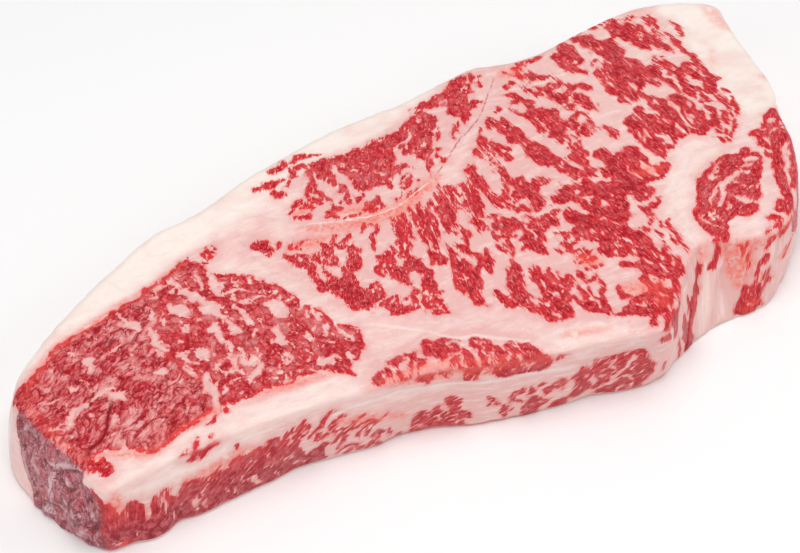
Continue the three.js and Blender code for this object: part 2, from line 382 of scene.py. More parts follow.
# Patches of lean as closed outlines of x and y, for muscles whose ground is fat.
leanAreas = [
    # cap
    (-15, 42.3, -8, 42, -2, 41.5, 5, 42.4, 9, 43, 14, 43.2, 18, 45.2, 21, 47.3, 23.5, 48.5, 25.8, 47, 27.2,
     44.5, 26.6, 41.6, 25, 39.3, 23.3, 39.7, 22, 41, 19.6, 39.8, 17, 39.2, 13.5, 38.5, 10.5, 37.2, 8.6, 35,
     7.6, 31.5, 5.5, 28.5, 3.5, 24.6, 1.5, 22.3, 1.2, 25, 0, 25.3, -3.5, 25.7, -6.8, 26.2, -7.5, 30, -7.2,
     33, -8.3, 35.4, -8, 37.6, -9.8, 38.6, -10.2, 36, -11.4, 33, -12.8, 31.3, -14, 33, -14.8, 36.5),
    (15.3, 37, 17.5, 38.3, 19.2, 39.8, 21.5, 39.5, 22.6, 37, 21.8, 34.5, 20.3, 33.4, 19.4, 31, 18, 28,
     15.8, 25, 14.4, 21, 14.4, 23.5, 15.8, 28.5, 13.8, 30.5, 14.6, 32.8, 14.8, 35.3),
    (22.5, 49.8, 25, 50.5, 30, 52, 35, 53.1, 38, 54.6, 41, 57, 43.3, 56.6, 42, 53.7, 40.3, 52, 39.4, 49.6,
     36, 48.2, 33, 49.4, 31.6, 49, 31.3, 47.3, 29.5, 47.2, 27, 48.3, 24.5, 49.2),
    (32, 48, 33.5, 48.2, 36, 48.4, 38.5, 49.2, 41, 50, 43.2, 49.3, 40.7, 48.8, 39.4, 47.4, 38.7, 45.5, 41,
     45.1, 42.7, 44, 41, 42.7, 39, 41.5, 37.7, 41, 37.4, 39.2, 36, 38.1, 34.2, 36.6, 33.6, 37.8, 34.2,
     39.5, 32.5, 40.6, 31.1, 42, 31.3, 43.9, 32.3, 45.4),
    (-9, 17.3, -8, 16.2, -6, 15.8, -4, 17, -2.6, 19.3, -2.8, 21, -4, 21.7, -6, 20.8, -7.8, 19.5),
    # between cap and coarse muscle
    (-43.5, 17, -43.6, 19.5, -42, 21.8, -40.7, 21.5, -39.3, 20, -38.8, 18, -38.6, 16, -39, 15, -40.8, 13.3,
     -41.5, 15, -42.5, 16.3),
    # eye, from its left end
    (-37.3, 12, -36.3, 12.1, -35.8, 11, -34.5, 10.5, -32.5, 10.5, -30.5, 10, -30.3, 8.5, -31, 6.5, -31.8,
     5, -31.3, 3, -31.6, 0, -30.8, -2.5, -29.6, -1.5, -29.8, 1.5, -28.6, 3.6, -28.6, -1.5, -26.8, -2.7,
     -25.6, -1, -24.6, 2.5, -23.6, -2.5, -22.6, -3.6, -22.6, -6, -23.3, -8.6, -21.5, -9.5, -19.5, -9,
     -17.8, -8.8, -17.6, -11, -18.3, -13, -19.3, -15, -22, -15.6, -23.8, -16.5, -25.5, -17.3, -27.3, -16.2,
     -28.5, -14, -29, -12, -29.8, -10, -31, -8, -33, -5, -34.3, -3, -33.9, 0, -34.1, 4.6, -35.6, 6.6,
     -36.8, 10),
    (-19, 8.3, -17.8, 7.5, -17.6, 5.5, -18.2, 3, -19, 0.5, -20, -2.5, -21.5, -3, -23, -2, -23.5, 0, -22,
     2.5, -20.5, 5.5),
    (-22, -16, -18, -15.8, -15.5, -16, -15.2, -17.3, -16.6, -19.6, -15.5, -20.3, -14.3, -20.8, -14, -22,
     -15.5, -22.8, -17.5, -21.8, -20, -21, -20.7, -19.5, -21.5, -18),
    (-13.6, -7, -12.6, -4.4, -11, -6, -10.3, -6.2, -8, -5.3, -6, -3.5, -5, -3.5, -4.3, -5.3, -3.5, -6,
     -3.2, -9, -2.9, -12, -3.5, -15, -4.5, -18, -5, -20, -5, -23, -5.2, -25.5, -6, -27.8, -8, -26.3, -9.7,
     -24.5, -10.5, -23.5, -10, -21, -9.8, -18, -9.3, -16, -8, -15, -7, -13, -6.8, -10.2, -9, -10, -9.6,
     -12.6, -11.5, -14.6, -12.9, -13, -13.4, -9.5),
    (5.6, -3.3, 6.3, -5.5, 6.7, -8, 6, -12.5, 8, -11.3, 7.6, -14, 8.6, -16.8, 9.8, -14.6, 9.3, -12, 8.4,
     -9.5, 7.8, -6, 8.4, -4.6, 9.3, -6, 10.6, -9, 11, -12.5, 12.5, -13.5, 14.9, -11.2, 14.8, -14.5, 13.5,
     -17.5, 11.6, -20.2, 10.6, -17, 9.5, -19, 8, -22, 5.6, -25, 5.3, -30, 3, -29, 1.9, -26, 0.5, -23, -0.3,
     -21.5, 0.2, -19.5, 1.3, -17, 2.5, -14, 3.5, -11, 4.8, -7.6),
    (-0.9, -8, -0.3, -5, 1, -5, 2.2, -6.4, 3.2, -4.4, 3, -8, 1.9, -11.3, 0.6, -11.7, -0.6, -10.4),
    (21.5, 0.3, 23, 0.8, 24.5, 0, 25.8, -3.6, 27.2, -2.4, 28, -4, 29, -4.5, 28.6, -10, 29.6, -15, 29.8,
     -18, 29.3, -20.5, 28.4, -21.6, 27.3, -20, 26.3, -17.5, 25.5, -16, 24.3, -17.2, 23.7, -16, 24.5, -12.5,
     26.2, -11.2, 26.8, -9, 25.6, -8, 23.3, -9, 22.3, -10, 21.8, -15, 20.7, -17.8, 20.2, -14, 20.3, -10.4,
     19.6, -9.4, 18.1, -10.2, 18.6, -7, 19.8, -4),
    (19, -17.3, 19.6, -19, 19.5, -22, 19, -25, 18, -28.3, 17.1, -27.8, 17.4, -31, 17.4, -34.2, 16.5, -33.3,
     16, -35.5, 16.3, -38.5, 17.8, -36, 18.2, -33.9, 19.3, -34.5, 20, -32.5, 20.2, -28.4, 21, -27, 21.7,
     -25.5, 22.7, -25, 23.2, -22.5, 23.8, -24, 23.8, -26.8, 24.7, -26.2, 25, -29.4, 25.8, -26.6, 26.8,
     -25.7, 26.6, -30, 26.5, -32.3, 27.6, -29, 28.4, -27, 28.6, -30.4, 31, -29.3, 29.2, -32, 27.5, -35,
     26.5, -38, 26, -39.8, 24.6, -39.6, 24.3, -41, 24.3, -44.6, 22, -44.8, 19, -45.3, 17.3, -44, 16.3, -42,
     16.3, -40.2, 15, -39.5, 14, -37.5, 13.2, -36, 12.8, -34, 11, -34.7, 9.5, -33, 9.2, -31.5, 8.2, -29.5,
     8.5, -27, 9.3, -25.9, 10.2, -26.3, 10.6, -28.4, 12, -29.3, 13, -28, 14, -25, 14.8, -22, 15.3, -20, 16,
     -21.8, 17.3, -20),
    (26.4, -38, 27.5, -37.6, 28.6, -39.8, 30.2, -41.6, 31, -43.5, 31.6, -45, 32, -42.6, 31.6, -40, 33.4,
     -41.8, 34, -40.6, 36, -39.6, 36.4, -36, 37.6, -34.8, 38, -38, 37, -40.6, 35, -42, 34.3, -46, 33.6,
     -50, 31.8, -49.2, 30.3, -47.5, 28.8, -45.3, 27.5, -43.2, 27.2, -41),
    (29.7, 24, 30.3, 26, 31.3, 26.3, 32, 25, 32.6, 27.5, 33.2, 28, 34.7, 30.8, 35, 29, 35.2, 26, 34.5, 22,
     34.6, 16, 34.4, 11, 35.8, 9, 37.6, 9.4, 38.6, 7, 39.4, 5.6, 40.6, 7, 42.3, 6.6, 43.6, 4.6, 42, 2.6,
     40.3, 3.4, 38.6, 2, 38.8, -1, 38, -4, 36.6, -3.6, 35.6, -5, 34, -4.6, 34.6, -1, 34.2, 1.4, 32.4, 1.6,
     31.5, 4, 33, 5.6, 33, 8.8, 31.7, 9.6, 31.8, 13, 31.5, 17, 30.7, 20.5),
    (35.2, 31, 35.7, 28, 36, 26.5, 36.8, 27, 37.7, 25.5, 38.3, 23.5, 39.6, 21, 39.3, 19.5, 38.2, 21, 37.2,
     22.2, 37.2, 20.3, 38.2, 18.8, 38.7, 17.3, 37.2, 16.7, 36.5, 18.5, 36.3, 20, 35.5, 19.5, 35.4, 22,
     35.5, 25),
    (38.6, 34, 40.3, 35.5, 41.8, 35, 42.5, 33.5, 43.5, 34, 44.9, 34.2, 45, 31, 46, 29, 47.5, 26.5, 48, 25,
     47.3, 22.5, 46.5, 20.8, 48.5, 20, 49.5, 17.5, 50.3, 15, 50, 13, 51.7, 11.5, 52, 8, 52.4, 5.5, 53.3,
     3.3, 52.5, 1.5, 55, 0.6, 56.5, -0.6, 56.6, 1.6, 58, 1.8, 59, 0, 58, -2, 60, -3, 60, 0, 60.8, 2, 59.4,
     2.6, 57.6, 4.4, 58.6, 7, 58.8, 10, 58.4, 12, 59.9, 14.4, 58.4, 14.6, 57.4, 12.6, 56.4, 13, 55.4, 14.5,
     54.6, 13.6, 54.4, 11.6, 53, 11, 53.2, 9.4, 54.2, 8, 55, 5.6, 55, 2.6, 53.6, 4.4, 51, 0.5, 49.8, 1,
     49.3, 3, 49.4, 5, 48, 4.8, 47.9, 8, 47.6, 10.2, 46.3, 9, 45.3, 10.5, 44.3, 10.8, 43.5, 13, 43.4, 16.5,
     43.2, 19.5, 42.6, 22, 41.3, 23, 40.8, 25, 41, 27, 40.5, 30, 39.8, 31.5),
    (48.6, 38.5, 49.6, 36, 51, 34.6, 51.6, 33.4, 53, 34.6, 53.4, 37, 52.2, 37.4, 51, 38.4, 50, 41, 48.6,
     43, 51, 43, 52.6, 42.4, 54, 40.6, 55.4, 38.8, 56.8, 37, 56.2, 34, 55.2, 32.6, 57.4, 32.4, 58.6, 30.8,
     60, 31, 61.5, 29.5, 60.5, 28.5, 59.6, 27, 60.8, 25, 62.5, 25.5, 65, 27, 66, 25.8, 64, 23.5, 63, 24,
     62.5, 22, 62.3, 20.3, 60.5, 19.7, 59.6, 21.2, 58.8, 21, 58.5, 19, 59.5, 17.5, 60, 16.3, 59, 15.5,
     58.3, 17, 57.8, 19, 57, 17.5, 57.2, 15, 56.8, 13.3, 56.3, 15, 56, 17.5, 55.3, 17, 54.8, 15.8, 54,
     16.2, 54, 18.5, 52.8, 20, 53, 21.8, 54.3, 22.3, 54.2, 25, 54.4, 28, 52.6, 30, 50.6, 30, 50, 33, 49,
     35, 48, 36.6),
    (60.8, 20, 62, 19, 63.5, 20.5, 65, 20.7, 65, 18.5, 65, 16, 63.5, 14.8, 62, 15.5, 61, 17.5),
    (68.2, 17.3, 69.6, 17.4, 71, 15, 71.8, 13, 71.3, 11, 70, 12.4, 69, 14.6),
    (60.2, 42, 61, 42, 62, 40.5, 63.5, 41, 65.5, 42.2, 65, 40.5, 66.6, 40.4, 67, 43.4, 65, 43.4, 63.5, 43,
     62.4, 44.4, 61.2, 44.8, 59.4, 44.8, 59.8, 46.2, 58.4, 47.4, 57.6, 49, 58.6, 50, 60, 47.8, 61.6, 48,
     62, 50, 63, 49.6, 63, 47, 65, 46.2, 67.6, 46.2, 67.6, 43, 68.8, 41, 68.6, 39.6, 70, 39.2, 70.4, 37.4,
     73.6, 36.8, 74.8, 35, 74.6, 33.6, 71.6, 34, 71.8, 35.6, 69, 35.6, 70, 33.4, 72, 31, 71.6, 29, 71.2,
     26, 69.4, 25.6, 67.6, 27.4, 68.6, 28.8, 67, 30, 67.6, 32.4, 66, 33.2, 64, 31.4, 62.6, 31.2, 61.6,
     33.4, 60.8, 35.4, 60.4, 38),
    (62.8, 30.5, 64.3, 31.3, 66.6, 28.8, 65.4, 27.6, 64.6, 26.6, 63.4, 27.4, 63.2, 28.8),
    (75.3, 56.2, 77.3, 56.6, 77.8, 54.5, 79, 53, 79.2, 51, 79.7, 48.5, 79, 46, 77, 45, 75.5, 44.5, 75.6,
     42, 77.2, 40.2, 76.4, 39.6, 74.6, 41.4, 73, 42.6, 72, 43.5, 71.3, 44.8, 70.7, 47, 70.8, 49.3, 71.6,
     50.3, 70.3, 51.2, 71.5, 52, 73, 52.8, 74.3, 52.8),
    (80.3, 56.6, 82, 57.6, 84, 57, 85.6, 56.2, 86, 55, 87.4, 54.8, 87.8, 53, 89, 51.6, 91, 51, 93, 51.8,
     93, 54, 91.8, 56.6, 93.4, 57.8, 95, 56.4, 96, 59, 97.6, 59, 97.3, 56, 98.2, 55, 99.5, 55.3, 100.8, 55,
     101.3, 53.2, 102.3, 53.2, 103.2, 51.5, 103.6, 49, 104.4, 46.5, 104.6, 44, 105.5, 41, 106, 37.3, 105,
     38.5, 104.3, 38, 103.3, 39, 102.3, 41.5, 101.5, 43.8, 100.9, 43, 99.8, 41.5, 98.3, 42.8, 97, 45, 96.5,
     47, 95.3, 48.2, 94.3, 49.7, 93.3, 50.3, 92.5, 49.5, 92, 47.8, 92.8, 45, 93.2, 43.2, 91.5, 43, 90.8,
     41.5, 92.3, 40.3, 93.3, 38.5, 94, 35, 95, 34.3, 96.5, 34.5, 97.5, 33, 98, 31, 97.4, 29, 98, 25, 98.6,
     20, 100, 17, 98.4, 18, 97, 21, 96.4, 25, 95.4, 29, 94.3, 26.5, 93.7, 24.3, 92.8, 25.3, 91, 28, 89.5,
     27.5, 88, 26.5, 88, 24, 87.8, 21.5, 86, 21, 85.6, 24, 84.6, 22.8, 83.5, 22.2, 82.5, 23.5, 81.5, 21.7,
     80.5, 23.5, 78.3, 25.2, 79.5, 26.8, 77.8, 29, 79, 31, 78.7, 35, 78.3, 39.5, 80.2, 41, 80.7, 44.3,
     81.3, 44.2, 81.2, 40, 82.5, 40.8, 83.7, 42.3, 85, 43, 85.2, 45, 83.7, 46, 83.3, 48, 83.7, 49.8, 82.5,
     50.5, 82.3, 52.3, 82.2, 53.8, 80.3, 54.8),
    (100.2, 34, 101.4, 30.4, 103, 30, 104.4, 31, 106, 32, 107.8, 31, 108.4, 34.5, 110.2, 34.5, 110.6, 29,
     110.6, 23, 111.8, 21.5, 110.8, 19.5, 109, 17.4, 107.5, 15.5, 106, 16, 105, 18, 105.8, 20.6, 105.4, 23,
     103.6, 25, 103, 23, 104, 20.4, 104.2, 16, 103.8, 14, 103.9, 11.6, 102.5, 12, 101.2, 13.4, 102.8, 14.6,
     103, 17.4, 101.4, 17, 101, 15, 99.8, 18.4, 99.4, 22, 100, 26, 99.8, 30),
    (80.3, 18.8, 81.5, 19.8, 82.5, 20.8, 83.7, 18.8, 84, 15.5, 85.3, 14.7, 86.7, 15, 86.2, 17.5, 86, 20,
     87, 22, 88.4, 23, 89.5, 22.5, 90.3, 20.5, 91.3, 19.3, 92, 17.5, 92.2, 13.5, 92, 10, 91.8, 6.5, 92.4,
     4.4, 93.6, 6.4, 93.7, 9.5, 93, 12, 93.8, 15, 93, 17, 93.5, 20.3, 95, 20.8, 96.5, 19.5, 97.8, 18, 98.6,
     16, 98.3, 13.5, 97.9, 11.2, 99.8, 10.8, 99, 8.5, 98.3, 6.3, 99.5, 5.2, 100.5, 3.5, 99, 2.8, 96.5, 3,
     95, 1.5, 93.5, 0.8, 92.3, 2.2, 90, 3, 87.5, 2.8, 85.3, 3, 84.8, 1.2, 82.5, 0.7, 80.8, 1, 79.8, -1,
     78.5, -2.5, 77, -2.5, 76.5, 0, 76.2, 3.5, 75.2, 3.4, 74.9, 6, 74, 8.5, 74.8, 11, 75.5, 12.5, 74.5,
     15.3, 75.8, 17, 78, 17.7, 79.5, 17.5),
    (61.5, 10.3, 64.4, 8.8, 65.6, 5.5, 67.5, 4.4, 70, 6.2, 71.8, 6.4, 72.8, 3, 74, -1.5, 75, -4.5, 78.8,
     -4, 77.8, -6.5, 75, -8.3, 71.5, -9, 68, -9.5, 68.9, -11.5, 68.2, -13.3, 66, -14.3, 62, -14.7, 60.8,
     -13, 59.6, -12.6, 59.2, -15, 58.2, -16.6, 57.6, -19, 56, -19.2, 54.6, -21.4, 55.6, -24, 57.8, -27.4,
     57.4, -30, 58.6, -33, 57.4, -35, 56.2, -34.6, 57, -37.6, 58.6, -35.8, 60, -36.2, 60.8, -39, 60.6, -43,
     58, -45.6, 55.5, -48, 51, -52, 47, -57, 45, -60, 43.6, -59, 45.4, -56.6, 44.6, -54.6, 42.6, -55.6,
     41.6, -58, 40.4, -56.6, 41, -54, 39.4, -52.4, 36, -51, 34, -50.2, 37, -48.8, 40, -48, 40.4, -46.4,
     39.2, -44, 39.4, -41, 40.6, -40.4, 41, -43.4, 42, -45.6, 43.6, -45, 46, -46, 47.4, -44.4, 46.8, -41,
     47.6, -39.6, 49.4, -39.6, 48.4, -37, 46, -36, 45, -34.6, 46.6, -33.6, 49, -35.4, 50.4, -35, 49.4,
     -32.6, 48.6, -31, 46.6, -31.6, 45.6, -30.4, 43.4, -29, 42.4, -26, 43.4, -24, 41.6, -21.6, 39, -19.4,
     38, -17.6, 39.6, -15.6, 41.6, -15, 40.2, -13.6, 40, -9.6, 41.4, -8.2, 44, -9, 46, -11.4, 47.6, -12,
     47, -9.6, 45.6, -7, 44.6, -5.6, 42.6, -5.6, 40.4, -4.6, 40, -1.8, 42, -2, 43.5, -0.5, 45, 0.3, 47,
     0.7, 48.7, 0, 49.8, -1.2, 51.6, -0.4, 52.6, 1, 56, -3, 58, -4, 60, -4.6, 59.8, 0, 61.4, 3, 60.4, 6),
    (31.2, -5, 32.5, -6, 33.7, -7.5, 35.5, -6.8, 37.5, -7, 39, -6.2, 39.3, -7.5, 38.5, -8.5, 36.4, -8.4,
     37.8, -9.4, 38.4, -11.5, 37.8, -13, 36.5, -12.3, 34.5, -12.2, 33, -13, 32.7, -14.5, 31.8, -16, 30.5,
     -16.8, 30, -15, 31, -13.5, 29.8, -12.5, 29.5, -10.5, 29.7, -8, 30.8, -6.5),
    (60.5, -17.2, 62, -16.4, 64.4, -17, 66.6, -15.2, 69, -15, 67, -17, 66.4, -18.8, 64, -19.6, 63.4, -21,
     61.6, -21, 61.4, -19),
    # front muscle
    (-36, -43, -36, -41, -34.6, -39.6, -33.2, -38, -32.4, -38.6, -32.2, -40.8, -32.6, -42.4, -34.4, -43.8),
    (-31.6, -40, -31.4, -38, -30.4, -37.6, -30.1, -39, -30.2, -42.2, -31.6, -42.2),
    (-29.6, -36.4, -28, -37, -25.2, -36.4, -25, -38.4, -27, -38.9, -27.3, -41, -25.6, -41.8, -23.8, -39.4,
     -22.9, -40.4, -24.6, -42.2, -28.6, -43, -29, -41, -28, -39.4, -28.6, -38),
    (-24.6, -36.4, -23.4, -36, -22, -37, -20.6, -35.6, -20.2, -37.6, -20.6, -39, -18.9, -40.4, -19.8, -42,
     -23, -43, -22.6, -41.6, -21.4, -40.6, -23.4, -39, -23.4, -37.8),
    (-18.6, -36.4, -17.8, -34.6, -15.8, -33.5, -15, -35, -14.8, -37, -14.2, -39, -13, -42.2, -15.4, -42.6,
     -16.6, -43.2, -17, -41, -18.2, -39.6, -18.9, -38),
    (-14.6, -36.4, -14.2, -35.2, -12, -35.4, -10.4, -36.4, -9.2, -37.8, -8.4, -38.6, -9.2, -40.6, -9.8,
     -42, -11.6, -41.8, -13.2, -41.6, -14.4, -39),
    (-10.2, -42.4, -9, -41, -8, -43, -8.1, -46, -9, -48.2, -10.4, -47.4, -10.2, -44.6),
    (-6.7, -41.6, -5.6, -40.1, -4, -39.3, -2.2, -41.2, -1, -42, -0.6, -44.4, 0.8, -46, 0.6, -48.6, -0.8,
     -51.4, -3, -48.8, -4.4, -49.6, -5.8, -48.6, -6.4, -46, -6.1, -43.6),
    (1.5, -47, 2.4, -46.3, 3.8, -47, 4.3, -49.6, 3, -50.4, 1.8, -49),
    (3.4, -45, 5.2, -46.4, 7.4, -48.2, 9.4, -51.6, 11, -54.4, 8, -53.4, 5, -52.6, 4.7, -49.6, 4.6, -47.4),
    # the island at the coarse muscle's front corner
    (-114.7, -32.7, -112.7, -32.7, -112.2, -34, -111, -33, -109.3, -32.8, -109.3, -35, -109, -37, -110.5,
     -38.7, -112.5, -38.5, -113, -37, -114.5, -35),
]

